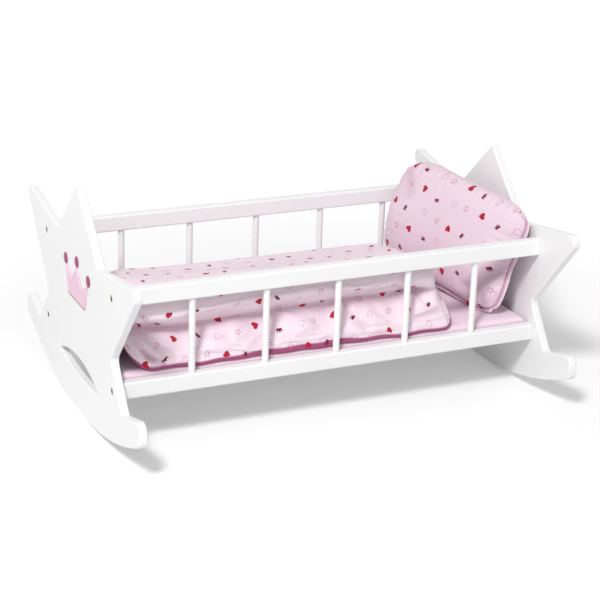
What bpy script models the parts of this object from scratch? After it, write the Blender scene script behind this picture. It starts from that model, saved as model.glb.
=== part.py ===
"""Doll cradle: crown-shaped end panels on rockers, spindle sides, a bed base and loose bedding.

The cradle stands on its rockers at z = 0. X runs along the bed from the foot end (-X) to the
head end (+X), Y runs from the front side (-Y) to the back side (+Y).
"""

import math

import bmesh
import bpy
from mathutils import Matrix, Vector

# Frame of the cradle
INNER_LENGTH = 0.482
PANEL_THICKNESS = 0.009
RAIL_SPREAD = 0.112
RAIL_THICKNESS = 0.012
RAIL_HEIGHT = 0.018
RAIL_ROUND = 0.002
BOTTOM_RAIL_LEVEL = 0.0712
RAIL_LEVELS_APART = 0.1001
SEAT_GAP = 0.0003

# End panel: crown, waist and rocker. Reaches and insets are taken from the rails' centre lines,
# rises and drops from the level of the rail beside them.
PANEL_EDGE_ROUND = 0.0015
APEX_RISE = 0.0846
APEX_ROUND = 0.004
NOTCH_OUT = 0.0709
NOTCH_RISE = 0.0155
NOTCH_ROUND = 0.002
SIDE_TIP_REACH = 0.0835
SIDE_TIP_RISE = 0.0361
SIDE_TIP_ROUND = 0.0092
WAIST_INSET = 0.0035
WAIST_RISE = 0.0328
WAIST_ROUND = 0.010
HORN_ROOT_REACH = 0.0316
HORN_ROOT_DROP = 0.0141
HORN_ROOT_ROUND = 0.005
HORN_TIP_REACH = 0.0835
HORN_TIP_RISE = 0.0013
HORN_TIP_ROUND = 0.011
HORN_END_REACH = 0.0865
HORN_END_ROUND = 0.008
ROCKER_RADIUS = 0.443
ROCKER_FLAT = 0.018
ROCKER_STEP = 0.011

# Lens-shaped slot between the panel's body and its rocker
SLOT_HALF_LENGTH = 0.070
SLOT_LEVEL = 0.0484
SLOT_RISE = 0.0156
SLOT_SAG = 0.0057
SLOT_END_ROUND = 0.0015
SLOT_STEPS = 14

# Crown motif, a thin plate and three dots on each panel's outer face, with rises from its base
MOTIF_THICKNESS = 0.0012
MOTIF_ROUND = 0.0012
MOTIF_BASE_HALF = 0.027
MOTIF_BASE_DROP = 0.0433
MOTIF_VALLEY_OUT = 0.0172
MOTIF_VALLEY_RISE = 0.0185
MOTIF_SIDE_DOT_OUT = 0.0387
MOTIF_SIDE_DOT_RISE = 0.0353
MOTIF_MIDDLE_DOT_RISE = 0.0436
DOT_DIAMETER = 0.0124
DOT_SIDES = 28

# Spindles and their sockets
SPINDLE_COUNT = 5
SPINDLE_SPACING = 0.0819
SPINDLE_DIAMETER = 0.0072
SPINDLE_SIDES = 20
SPINDLE_SEAT_DEPTH = 0.007
SPINDLE_CHAMFER = 0.0005

# Bed base in the grooves of the bottom rails
BASE_THICKNESS = 0.004
GROOVE_DEPTH = 0.004
GROOVE_FLOOR_LIP = 0.0025

# Screws through the panels into the rail ends
SCREW_LENGTH = 0.036
SCREW_HEAD_DIAMETER = 0.0080
SCREW_HEAD_DEPTH = 0.0026
SCREW_SHANK_DIAMETER = 0.0042
SCREW_TIP_LENGTH = 0.003
SCREW_SINK = 0.0006
SCREW_SOCKET_WIDTH = 0.0040
SCREW_SOCKET_DEPTH = 0.0022
SCREW_SOCKET_SIDES = 6
SCREW_SIDES = 20

# Mattress
MATTRESS_THICKNESS = 0.0155
MATTRESS_END_CLEARANCE = 0.003
MATTRESS_SIDE_CLEARANCE = 0.0015
MATTRESS_EDGE_ROUND = 0.008
MATTRESS_COLUMNS = 18
MATTRESS_ROWS = 14

# Quilt, folded once, lying on the mattress from the foot end
QUILT_FOOT_CLEARANCE = 0.005
QUILT_END_TUCK = 0.0077
QUILT_FRONT_CLEARANCE = 0.0010
QUILT_BACK_CLEARANCE = 0.004
QUILT_HEIGHT = 0.0765
QUILT_LAYER_HEIGHT = 0.0375
QUILT_CREASE_RISE = 0.010
QUILT_CREASE_DEPTH = 0.022
QUILT_PINCH_DEPTH = 0.010
QUILT_END_LEAN = 0.024
QUILT_LEAN_POWER = 3
QUILT_STATIONS = 21
QUILT_GATHER_SHARE = 0.45

# Quilt's lower layer, from its bottom edge up to the crease: heights as shares of the layer,
# how far the face is drawn in at a spindle, and how far it turns in towards the crease
LOWER_HEIGHT_SHARES = (0.0, 0.10, 0.58, 0.92, 1.0)
LOWER_PINCH_SHARES = (0.10, 0.15, 0.75, 1.0, 1.0)
LOWER_INSET_SHARES = (0.0, 0.0, 0.0, 0.30, 1.0)

# Quilt's upper layer from the crease up, and its top from the front roll round to the underside
UPPER_HEIGHT_SHARES = (0.18, 0.62)
UPPER_INSET_SHARES = (0.12, 0.0)
TOP_WIDTH_SHARES = (0.10, 0.36, 0.62, 0.86, 1.0, 0.94, 0.5)
TOP_HEIGHT_SHARES = (1.0, 0.98, 0.77, 0.46, 0.25, 0.0, 0.0)

# Quilt's closing sections at both ends: their sizes from the outermost inwards, the width an
# end keeps and the height it closes at
END_SIZE_SHARES = (0.30, 0.72, 0.94)
END_WIDTH_SHARE = 0.35
END_LEVEL_SHARE = 0.62

# Pillow, leaning on the head panel
PILLOW_SPARE_WIDTH = 0.002
PILLOW_DEPTH = 0.135
PILLOW_THICKNESS = 0.046
PILLOW_DRAW_IN = 0.006
PILLOW_CORNER_ROUND = 0.013
PILLOW_CORNER_POWER = 4
PILLOW_CROWN_POWER = 0.42
PILLOW_LEAN_DEGREES = 15
PILLOW_TURN_DEGREES = 14
PILLOW_ROLL_DEGREES = 4
PILLOW_SIDE_CLEARANCE = 0.0008
PILLOW_COLUMNS = 24
PILLOW_ROWS = 22

# Resolution shared by every piece
EDGE_STEPS = 2
ARC_STEP_DEGREES = 15
CUT_OVERRUN = 0.004
WELD_DISTANCE = 0.00001
SMOOTH_DEGREES = 32

TOP_RAIL_LEVEL = BOTTOM_RAIL_LEVEL + RAIL_LEVELS_APART
MOTIF_BASE_LEVEL = TOP_RAIL_LEVEL - MOTIF_BASE_DROP
RAIL_HALF_LENGTH = INNER_LENGTH / 2 - SEAT_GAP
RAIL_INNER_FACE = RAIL_SPREAD - RAIL_THICKNESS / 2
BOTTOM_RAIL_TOP = BOTTOM_RAIL_LEVEL + RAIL_HEIGHT / 2
TOP_RAIL_UNDERSIDE = TOP_RAIL_LEVEL - RAIL_HEIGHT / 2
BASE_UNDERSIDE = BOTTOM_RAIL_LEVEL - RAIL_HEIGHT / 2 + GROOVE_FLOOR_LIP + SEAT_GAP
BASE_TOP = BASE_UNDERSIDE + BASE_THICKNESS
MATTRESS_UNDERSIDE = BASE_TOP + SEAT_GAP
MATTRESS_TOP = MATTRESS_UNDERSIDE + MATTRESS_THICKNESS
PILLOW_WIDTH = 2 * RAIL_INNER_FACE + PILLOW_SPARE_WIDTH

ENDS = {"foot": -1, "head": 1}
SIDES = {"front": -1, "back": 1}
LEVELS = {"top": TOP_RAIL_LEVEL, "bottom": BOTTOM_RAIL_LEVEL}

for old in list(bpy.data.objects):
    bpy.data.objects.remove(old, do_unlink=True)

cradle = bpy.data.collections.new("doll_cradle")
cutters = bpy.data.collections.new("cutters")
bpy.context.scene.collection.children.link(cradle)
bpy.context.scene.collection.children.link(cutters)


# Helpers for materials, outlines and cuts

def make_material(name, colour, roughness, metallic=0.0):
    """A Principled material with one colour."""
    material = bpy.data.materials.new(name)
    material.use_nodes = True
    shader = material.node_tree.nodes["Principled BSDF"]
    shader.inputs["Base Color"].default_value = (*colour, 1.0)
    shader.inputs["Roughness"].default_value = roughness
    shader.inputs["Metallic"].default_value = metallic
    return material


def add_piece(name, mesh, material, matrix=None):
    """Put a mesh into the cradle's collection as one named piece."""
    piece = bpy.data.objects.new(name, mesh)
    mesh.materials.clear()
    mesh.materials.append(material)
    if matrix is not None:
        piece.matrix_world = matrix
    cradle.objects.link(piece)
    return piece


def add_cutter(name, mesh, matrix):
    """Put a mesh into the cutters' collection, hidden from the render."""
    cutter = bpy.data.objects.new(name, mesh)
    cutter.matrix_world = matrix
    cutter.hide_render = True
    cutter.display_type = "WIRE"
    cutters.objects.link(cutter)
    return cutter


def cut(piece, cutter):
    """Take the cutter's volume out of the piece."""
    boolean = piece.modifiers.new(cutter.name, "BOOLEAN")
    boolean.operation = "DIFFERENCE"
    boolean.solver = "EXACT"
    boolean.object = cutter


def smooth(mesh):
    """Shade round stretches smooth and keep real corners sharp."""
    mesh.shade_smooth()
    mesh.set_sharp_from_angle(angle=math.radians(SMOOTH_DEGREES))


def filleted(corners):
    """Outline through (x, y, radius) corners, each rounded by an arc of its radius."""
    points = []
    for i, (x, y, radius) in enumerate(corners):
        here = Vector((x, y))
        if radius == 0:
            points.append(here)
            continue
        to_before = (Vector(corners[i - 1][:2]) - here).normalized()
        to_after = (Vector(corners[(i + 1) % len(corners)][:2]) - here).normalized()
        half_angle = to_before.angle(to_after) / 2
        centre = here + (to_before + to_after).normalized() * (radius / math.sin(half_angle))
        first = here + to_before * (radius / math.tan(half_angle)) - centre
        last = here + to_after * (radius / math.tan(half_angle)) - centre
        start = math.atan2(first.y, first.x)
        sweep = math.atan2(first.x * last.y - first.y * last.x, first.dot(last))
        steps = max(2, math.ceil(abs(math.degrees(sweep)) / ARC_STEP_DEGREES))
        for k in range(steps + 1):
            angle = start + sweep * k / steps
            points.append(centre + Vector((math.cos(angle), math.sin(angle))) * radius)
    return points


def flat_mesh(name, outlines, thickness, edge_round=0.0):
    """Mesh of flat outlines (later ones are holes) with the given thickness and rounded rims."""
    curve = bpy.data.curves.new(name, "CURVE")
    curve.dimensions = "2D"
    curve.fill_mode = "BOTH"
    curve.extrude = thickness / 2 - edge_round
    if edge_round:
        curve.bevel_depth = edge_round
        curve.bevel_resolution = EDGE_STEPS
        curve.offset = -edge_round
    for outline in outlines:
        spline = curve.splines.new("POLY")
        spline.points.add(len(outline) - 1)
        for point, place in zip(spline.points, outline):
            point.co = (place[0], place[1], 0, 1)
        spline.use_cyclic_u = True
    source = bpy.data.objects.new(name, curve)
    cradle.objects.link(source)
    evaluated = source.evaluated_get(bpy.context.evaluated_depsgraph_get())
    mesh = bpy.data.meshes.new_from_object(evaluated)
    bpy.data.objects.remove(source, do_unlink=True)
    mesh.name = name
    shape = bmesh.new()
    shape.from_mesh(mesh)
    bmesh.ops.remove_doubles(shape, verts=shape.verts, dist=WELD_DISTANCE)
    bmesh.ops.recalc_face_normals(shape, faces=shape.faces)
    shape.to_mesh(mesh)
    shape.free()
    smooth(mesh)
    return mesh


def cylinder_mesh(name, radius, depth, sides, chamfer=0.0):
    """Mesh of an upright cylinder centred on its origin, its rims chamfered on request."""
    mesh = bpy.data.meshes.new(name)
    shape = bmesh.new()
    bmesh.ops.create_cone(
        shape, cap_ends=True, segments=sides, radius1=radius, radius2=radius, depth=depth)
    if chamfer:
        rims = [edge for edge in shape.edges if any(len(face.verts) > 4 for face in edge.link_faces)]
        bmesh.ops.bevel(shape, geom=rims, offset=chamfer, segments=1, affect="EDGES")
    shape.to_mesh(mesh)
    shape.free()
    smooth(mesh)
    return mesh


def box_mesh(name, size):
    """Mesh of a box centred on its origin."""
    mesh = bpy.data.meshes.new(name)
    shape = bmesh.new()
    bmesh.ops.create_cube(shape, size=1.0)
    bmesh.ops.scale(shape, vec=size, verts=shape.verts)
    shape.to_mesh(mesh)
    shape.free()
    return mesh


def turned_mesh(name, profile, sides):
    """Mesh of (radius, height) points, listed from top to bottom, turned about Z."""
    mesh = bpy.data.meshes.new(name)
    mesh.from_pydata([(radius, 0, height) for radius, height in profile],
                     [(i, i + 1) for i in range(len(profile) - 1)], [])
    source = bpy.data.objects.new(name, mesh)
    cradle.objects.link(source)
    screw = source.modifiers.new("turn", "SCREW")
    screw.steps = sides
    screw.render_steps = sides
    screw.use_merge_vertices = True
    screw.merge_threshold = WELD_DISTANCE
    evaluated = source.evaluated_get(bpy.context.evaluated_depsgraph_get())
    turned = bpy.data.meshes.new_from_object(evaluated)
    bpy.data.objects.remove(source, do_unlink=True)
    turned.name = name
    smooth(turned)
    return turned


def end_matrix(side, x):
    """Matrix that stands a flat outline up as an end panel: its X along Y, its Y along Z.

    The outline's back (-Z) ends up on the outer side of the foot panel (side -1), and the
    head panel (side 1) is the same board turned round.
    """
    turn = Matrix.Rotation(-side * math.pi / 2, 4, "Z") @ Matrix.Rotation(math.pi / 2, 4, "X")
    return Matrix.Translation((side * x, 0, 0)) @ turn


# Materials

white_paint = make_material("white_paint", (0.90, 0.90, 0.90), 0.35)
pale_pink_paint = make_material("pale_pink_paint", (0.89, 0.62, 0.74), 0.45)
deep_pink_paint = make_material("deep_pink_paint", (0.42, 0.05, 0.15), 0.45)
yellow_zinc = make_material("yellow_zinc", (0.36, 0.33, 0.20), 0.35, 1.0)
pink_cotton = make_material("pink_cotton", (0.91, 0.71, 0.79), 0.90)
plain_pink_cotton = make_material("plain_pink_cotton", (0.88, 0.58, 0.72), 0.90)


# End panels

def rocker_arc():
    """Rocker edge from the centre line to the horn's end, level over its lowest stretch."""
    level = math.asin(ROCKER_FLAT / 2 / ROCKER_RADIUS)
    centre_height = ROCKER_RADIUS * math.cos(level)
    reach = math.asin((RAIL_SPREAD + HORN_END_REACH) / ROCKER_RADIUS)
    steps = round((reach - level) * ROCKER_RADIUS / ROCKER_STEP)
    angles = [level + (reach - level) * k / steps for k in range(steps + 1)]
    return [(ROCKER_RADIUS * math.sin(angle), centre_height - ROCKER_RADIUS * math.cos(angle))
            for angle in angles]


def panel_outline():
    """Outline of the end panel: rocker, horns, waist, side points, notches and middle point."""
    arc = rocker_arc()
    half = [(out, height, 0) for out, height in arc[:-1]]
    half.append((*arc[-1], HORN_END_ROUND))
    half += [
        (RAIL_SPREAD + HORN_TIP_REACH, BOTTOM_RAIL_LEVEL + HORN_TIP_RISE, HORN_TIP_ROUND),
        (RAIL_SPREAD + HORN_ROOT_REACH, BOTTOM_RAIL_LEVEL - HORN_ROOT_DROP, HORN_ROOT_ROUND),
        (RAIL_SPREAD - WAIST_INSET, BOTTOM_RAIL_LEVEL + WAIST_RISE, WAIST_ROUND),
        (RAIL_SPREAD + SIDE_TIP_REACH, TOP_RAIL_LEVEL + SIDE_TIP_RISE, SIDE_TIP_ROUND),
        (NOTCH_OUT, TOP_RAIL_LEVEL + NOTCH_RISE, NOTCH_ROUND),
    ]
    other_half = [(-out, height, radius) for out, height, radius in reversed(half)]
    return filleted(half + [(0, TOP_RAIL_LEVEL + APEX_RISE, APEX_ROUND)] + other_half)


def shallow_arc(half_length, level, bulge, steps):
    """Points of an arc from +half_length to -half_length that bulges up (or down), ends left out."""
    radius = (half_length ** 2 + bulge ** 2) / (2 * abs(bulge))
    side = math.copysign(1, bulge)
    reach = math.asin(half_length / radius)
    angles = [reach * (1 - 2 * k / steps) for k in range(1, steps)]
    return [(radius * math.sin(angle), level + bulge - side * radius * (1 - math.cos(angle)))
            for angle in angles]


def slot_outline():
    """Lens between two shallow arcs, with small round ends."""
    upper = shallow_arc(SLOT_HALF_LENGTH, SLOT_LEVEL, SLOT_RISE, SLOT_STEPS)
    lower = shallow_arc(SLOT_HALF_LENGTH, SLOT_LEVEL, -SLOT_SAG, SLOT_STEPS)
    corners = [(SLOT_HALF_LENGTH, SLOT_LEVEL, SLOT_END_ROUND)]
    corners += [(*place, 0) for place in upper]
    corners.append((-SLOT_HALF_LENGTH, SLOT_LEVEL, SLOT_END_ROUND))
    corners += [(*place, 0) for place in reversed(lower)]
    return filleted(corners)


def add_end_panel(end, side):
    """One end panel, standing between the rail ends and the screw heads."""
    mesh = flat_mesh(f"{end}_end_panel", [panel_outline(), slot_outline()],
                     PANEL_THICKNESS, PANEL_EDGE_ROUND)
    middle = INNER_LENGTH / 2 + PANEL_THICKNESS / 2
    return add_piece(f"{end}_end_panel", mesh, white_paint, end_matrix(side, middle))


# Crown motif

def motif_outline():
    """Small three-pointed crown whose tips stop just short of the dots above them."""
    dot_reach = DOT_DIAMETER / 2 + SEAT_GAP
    slope = math.atan2(MOTIF_SIDE_DOT_OUT - MOTIF_BASE_HALF, MOTIF_SIDE_DOT_RISE)
    half = [
        (MOTIF_BASE_HALF, 0, MOTIF_ROUND),
        (MOTIF_SIDE_DOT_OUT - dot_reach * math.sin(slope),
         MOTIF_SIDE_DOT_RISE - dot_reach * math.cos(slope), 0),
        (MOTIF_VALLEY_OUT, MOTIF_VALLEY_RISE, MOTIF_ROUND),
    ]
    other_half = [(-out, rise, radius) for out, rise, radius in reversed(half)]
    return filleted(half + [(0, MOTIF_MIDDLE_DOT_RISE - dot_reach, 0)] + other_half)


def add_motif(end, side):
    """Crown plate and its three dots on a panel's outer face."""
    face = INNER_LENGTH / 2 + PANEL_THICKNESS + SEAT_GAP + MOTIF_THICKNESS / 2
    base = Matrix.Translation((0, 0, MOTIF_BASE_LEVEL))
    crown = flat_mesh(f"{end}_crown", [motif_outline()], MOTIF_THICKNESS)
    add_piece(f"{end}_crown", crown, pale_pink_paint, base @ end_matrix(side, face))
    places = {
        "front": (-MOTIF_SIDE_DOT_OUT, MOTIF_SIDE_DOT_RISE),
        "middle": (0, MOTIF_MIDDLE_DOT_RISE),
        "back": (MOTIF_SIDE_DOT_OUT, MOTIF_SIDE_DOT_RISE),
    }
    for place, (out, rise) in places.items():
        name = f"{end}_crown_dot_{place}"
        mesh = cylinder_mesh(name, DOT_DIAMETER / 2, MOTIF_THICKNESS, DOT_SIDES)
        upright = Matrix.Translation((side * face, out, rise)) @ Matrix.Rotation(math.pi / 2, 4, "Y")
        add_piece(name, mesh, deep_pink_paint, base @ upright)


# Side rails and spindles

def rail_profile():
    """Cross-section of a side rail, with rounded long edges."""
    half_width = RAIL_THICKNESS / 2
    half_height = RAIL_HEIGHT / 2
    return filleted([
        (half_width, -half_height, RAIL_ROUND),
        (half_width, half_height, RAIL_ROUND),
        (-half_width, half_height, RAIL_ROUND),
        (-half_width, -half_height, RAIL_ROUND),
    ])


def add_rail(name, side, level):
    """One side rail between the two panels."""
    mesh = flat_mesh(name, [rail_profile()], 2 * RAIL_HALF_LENGTH)
    place = Matrix.Translation((0, side * RAIL_SPREAD, level)) @ end_matrix(-1, 0)
    return add_piece(name, mesh, white_paint, place)


def spindle_places():
    """Stations of the spindles along the rails."""
    middle = (SPINDLE_COUNT - 1) / 2
    return [(i - middle) * SPINDLE_SPACING for i in range(SPINDLE_COUNT)]


def add_side_frame(name, side):
    """Top rail, bottom rail and the round spindles seated in blind sockets of both."""
    top_rail = add_rail(f"{name}_top_rail", side, TOP_RAIL_LEVEL)
    bottom_rail = add_rail(f"{name}_bottom_rail", side, BOTTOM_RAIL_LEVEL)
    lowest = BOTTOM_RAIL_TOP - SPINDLE_SEAT_DEPTH
    highest = TOP_RAIL_UNDERSIDE + SPINDLE_SEAT_DEPTH
    spindle_length = highest - lowest - 2 * SEAT_GAP
    centre = (highest + lowest) / 2
    socket_depth = SPINDLE_SEAT_DEPTH + CUT_OVERRUN
    for number, x in enumerate(spindle_places(), start=1):
        spindle = f"{name}_spindle_{number}"
        mesh = cylinder_mesh(spindle, SPINDLE_DIAMETER / 2, spindle_length, SPINDLE_SIDES, SPINDLE_CHAMFER)
        add_piece(spindle, mesh, white_paint, Matrix.Translation((x, side * RAIL_SPREAD, centre)))
        socket_radius = SPINDLE_DIAMETER / 2 + SEAT_GAP
        sockets = {
            "upper": (top_rail, highest - socket_depth / 2),
            "lower": (bottom_rail, lowest + socket_depth / 2),
        }
        for end, (rail, height) in sockets.items():
            socket = cylinder_mesh(f"{spindle}_{end}", socket_radius, socket_depth, SPINDLE_SIDES)
            place = Matrix.Translation((x, side * RAIL_SPREAD, height))
            cut(rail, add_cutter(f"{spindle}_{end}_socket", socket, place))
    return top_rail, bottom_rail


# Bed base

def add_base(bottom_rails):
    """Thin board that slides into a groove along the inner face of each bottom rail."""
    groove_height = BASE_THICKNESS + 2 * SEAT_GAP
    groove_depth = GROOVE_DEPTH + CUT_OVERRUN
    level = BASE_UNDERSIDE + BASE_THICKNESS / 2
    for name, side in SIDES.items():
        groove = box_mesh(f"{name}_groove", (INNER_LENGTH + CUT_OVERRUN, groove_depth, groove_height))
        inset = RAIL_INNER_FACE + GROOVE_DEPTH - groove_depth / 2
        place = Matrix.Translation((0, side * inset, level))
        cut(bottom_rails[name], add_cutter(f"{name}_groove", groove, place))
    width = 2 * (RAIL_INNER_FACE + GROOVE_DEPTH - SEAT_GAP)
    mesh = box_mesh("base_board", (2 * RAIL_HALF_LENGTH, width, BASE_THICKNESS))
    return add_piece("base_board", mesh, white_paint, Matrix.Translation((0, 0, level)))


# Screws

def screw_sizes(growth):
    """Radii of head and shank and levels of cone end and tip, the screw grown on every side."""
    head = SCREW_HEAD_DIAMETER / 2 + growth
    shank = SCREW_SHANK_DIAMETER / 2 + growth
    cone_end = -SCREW_HEAD_DEPTH - growth
    tip = -SCREW_LENGTH - growth
    return head, shank, cone_end, tip


def add_screw(end, side, frame_side, level, panel, rail):
    """One screw through a panel into a rail's end, with its countersunk hole in both."""
    name = f"{end}_screw_{frame_side}_{level}"
    head_face = INNER_LENGTH / 2 + PANEL_THICKNESS - SCREW_SINK
    place = Matrix.Translation((side * head_face, SIDES[frame_side] * RAIL_SPREAD, LEVELS[level]))
    matrix = place @ Matrix.Rotation(side * math.pi / 2, 4, "Y")

    head, shank, cone_end, tip = screw_sizes(0)
    body = turned_mesh(name, [
        (0, 0), (head, 0), (shank, cone_end), (shank, tip + SCREW_TIP_LENGTH), (0, tip),
    ], SCREW_SIDES)
    screw = add_piece(name, body, yellow_zinc, matrix)
    socket_radius = SCREW_SOCKET_WIDTH / 2 / math.cos(math.pi / SCREW_SOCKET_SIDES)
    socket = cylinder_mesh(f"{name}_socket", socket_radius, 2 * SCREW_SOCKET_DEPTH,
                           SCREW_SOCKET_SIDES)
    cut(screw, add_cutter(f"{name}_socket", socket, matrix))

    head, shank, cone_end, tip = screw_sizes(SEAT_GAP)
    hole = turned_mesh(f"{name}_hole", [
        (0, CUT_OVERRUN), (head, CUT_OVERRUN), (head, 0), (shank, cone_end), (shank, tip), (0, tip),
    ], SCREW_SIDES)
    cutter = add_cutter(f"{name}_hole", hole, matrix)
    cut(panel, cutter)
    cut(rail, cutter)


# Soft pieces

def cushion_mesh(name, half_width, half_depth, columns, rows, surface):
    """Two grids welded along their rims and shaped by surface(u, v, upper) for u, v in -1 to 1."""
    mesh = bpy.data.meshes.new(name)
    shape = bmesh.new()
    for upper in (True, False):
        fresh = bmesh.ops.create_grid(shape, x_segments=columns, y_segments=rows, size=1.0)["verts"]
        for vert in fresh:
            vert.co = surface(vert.co.x, vert.co.y, upper, half_width, half_depth)
        if not upper:
            faces = {face for vert in fresh for face in vert.link_faces}
            bmesh.ops.reverse_faces(shape, faces=list(faces))
    bmesh.ops.remove_doubles(shape, verts=shape.verts, dist=WELD_DISTANCE)
    shape.to_mesh(mesh)
    shape.free()
    mesh.shade_smooth()
    return mesh


def eased(share):
    """Spread grid lines from -1 to 1 so that they gather near the rims."""
    return math.sin(share * math.pi / 2)


def mattress_surface(u, v, upper, half_width, half_depth):
    """Flat on both sides, its edges rounded all round."""
    x = eased(u) * half_width
    y = eased(v) * half_depth
    edge = min(half_width - abs(x), half_depth - abs(y), MATTRESS_EDGE_ROUND)
    fall = 1 - edge / MATTRESS_EDGE_ROUND
    roundness = math.sqrt(max(0.0, 1 - fall ** 2))
    half = MATTRESS_THICKNESS / 2
    return Vector((x, y, half + half * roundness if upper else half - half * roundness))


def add_mattress():
    """Thin mattress on the bed base."""
    half_length = INNER_LENGTH / 2 - MATTRESS_END_CLEARANCE
    half_width = RAIL_INNER_FACE - MATTRESS_SIDE_CLEARANCE
    mesh = cushion_mesh("mattress", half_length, half_width, MATTRESS_COLUMNS, MATTRESS_ROWS,
                        mattress_surface)
    return add_piece("mattress", mesh, plain_pink_cotton,
                     Matrix.Translation((0, 0, MATTRESS_UNDERSIDE)))


def quilt_section(x, length_share):
    """Cross-section cage of the folded quilt at a station, as (y, z) from the mattress up.

    The front shows two layers, parted by a crease that rises towards the head end. The lower
    layer swells between the spindles, and the top falls away towards the back.
    """
    front = -RAIL_INNER_FACE + QUILT_FRONT_CLEARANCE
    width = RAIL_INNER_FACE - QUILT_BACK_CLEARANCE - front
    swell = math.cos(2 * math.pi * (x / SPINDLE_SPACING + 0.5))
    pinch = QUILT_PINCH_DEPTH * (1 - swell) / 2
    crease = QUILT_LAYER_HEIGHT + QUILT_CREASE_RISE * length_share
    section = []
    for height, drawn, inset in zip(LOWER_HEIGHT_SHARES, LOWER_PINCH_SHARES, LOWER_INSET_SHARES):
        face = pinch * drawn
        section.append((front + face + (QUILT_CREASE_DEPTH - face) * inset, crease * height))
    for height, inset in zip(UPPER_HEIGHT_SHARES, UPPER_INSET_SHARES):
        section.append((front + QUILT_CREASE_DEPTH * inset, crease + (QUILT_HEIGHT - crease) * height))
    for across, height in zip(TOP_WIDTH_SHARES, TOP_HEIGHT_SHARES):
        section.append((front + width * across, QUILT_HEIGHT * height))
    return section


def closed_section(x, length_share, size):
    """Section at a station as (x, y, z), shrunk to its size share and leaning near the head end."""
    section = quilt_section(x, length_share)
    middle = sum(y for y, z in section) / len(section)
    level = QUILT_HEIGHT * END_LEVEL_SHARE
    spread = END_WIDTH_SHARE + (1 - END_WIDTH_SHARE) * size
    places = []
    for y, z in section:
        lean = QUILT_END_LEAN * length_share ** QUILT_LEAN_POWER * z / QUILT_HEIGHT
        places.append((x - lean, middle + (y - middle) * spread, level + (z - level) * size))
    return places


def add_quilt(pillow_front):
    """Quilt as a loft of its sections, closed by shrunken sections at both ends.

    Its low end reaches a little way in under the belly of the pillow, which starts at pillow_front.
    """
    start = -INNER_LENGTH / 2 + QUILT_FOOT_CLEARANCE
    length = pillow_front + QUILT_END_TUCK - start
    shape = bmesh.new()
    rings = []
    for station in range(QUILT_STATIONS):
        even = station / (QUILT_STATIONS - 1)
        gathered = (1 - math.cos(math.pi * even)) / 2
        share = QUILT_GATHER_SHARE * gathered + (1 - QUILT_GATHER_SHARE) * even
        from_end = min(station, QUILT_STATIONS - 1 - station)
        size = END_SIZE_SHARES[from_end] if from_end < len(END_SIZE_SHARES) else 1
        places = closed_section(start + length * share, share, size)
        rings.append([shape.verts.new(place) for place in places])
    for before, after in zip(rings, rings[1:]):
        for i in range(len(before)):
            j = (i + 1) % len(before)
            shape.faces.new((before[i], before[j], after[j], after[i]))
    shape.faces.new(rings[0])
    shape.faces.new(rings[-1])
    bmesh.ops.recalc_face_normals(shape, faces=shape.faces)
    mesh = bpy.data.meshes.new("quilt")
    shape.to_mesh(mesh)
    shape.free()
    mesh.shade_smooth()
    quilt = add_piece("quilt", mesh, pink_cotton, Matrix.Translation((0, 0, MATTRESS_TOP + SEAT_GAP)))
    soften = quilt.modifiers.new("soften", "SUBSURF")
    soften.levels = 1
    soften.render_levels = 1
    return quilt


def pillow_surface(u, v, upper, half_width, half_depth):
    """Crowned cushion with drawn-in sides and rounded corners, its seam in the middle plane."""
    across = eased(u)
    along = eased(v)
    corner = abs(across * along) ** PILLOW_CORNER_POWER
    x = across * (half_width - PILLOW_DRAW_IN * (1 - along ** 2) - PILLOW_CORNER_ROUND * corner)
    y = along * (half_depth - PILLOW_DRAW_IN * (1 - across ** 2) - PILLOW_CORNER_ROUND * corner)
    z = PILLOW_THICKNESS / 2 * ((1 - across ** 2) * (1 - along ** 2)) ** PILLOW_CROWN_POWER
    return Vector((x, y, z if upper else -z))


def add_pillow():
    """Pillow standing on the mattress, leaned back and turned a little, against the head panel.

    Gives back how far towards the foot end it reaches.
    """
    mesh = cushion_mesh("pillow", PILLOW_WIDTH / 2, PILLOW_DEPTH / 2, PILLOW_COLUMNS, PILLOW_ROWS,
                        pillow_surface)
    upright = Matrix.Rotation(-math.pi / 2, 4, "Z") @ Matrix.Rotation(math.pi / 2, 4, "X")
    roll = Matrix.Rotation(math.radians(PILLOW_ROLL_DEGREES), 4, "X")
    lean = Matrix.Rotation(math.radians(PILLOW_LEAN_DEGREES), 4, "Y")
    turn = Matrix.Rotation(math.radians(PILLOW_TURN_DEGREES), 4, "Z")
    attitude = turn @ lean @ roll @ upright
    places = [attitude @ vert.co for vert in mesh.vertices]
    x = INNER_LENGTH / 2 - PILLOW_SIDE_CLEARANCE - max(place.x for place in places)
    y = -(max(place.y for place in places) + min(place.y for place in places)) / 2
    z = MATTRESS_TOP + SEAT_GAP - min(place.z for place in places)
    add_piece("pillow", mesh, pink_cotton, Matrix.Translation((x, y, z)) @ attitude)
    return x + min(place.x for place in places)


# Assembly

panels = {end: add_end_panel(end, side) for end, side in ENDS.items()}
rails = {}
for frame_name, frame_side in SIDES.items():
    rails[frame_name, "top"], rails[frame_name, "bottom"] = add_side_frame(frame_name, frame_side)
add_base({name: rails[name, "bottom"] for name in SIDES})
for end_name, end_side in ENDS.items():
    add_motif(end_name, end_side)
    for frame_name in SIDES:
        for level_name in LEVELS:
            add_screw(end_name, end_side, frame_name, level_name,
                      panels[end_name], rails[frame_name, level_name])
add_mattress()
pillow_front = add_pillow()
add_quilt(pillow_front)
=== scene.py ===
import math

import bmesh
import bpy
import numpy as np
from mathutils import Matrix, Vector


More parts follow.
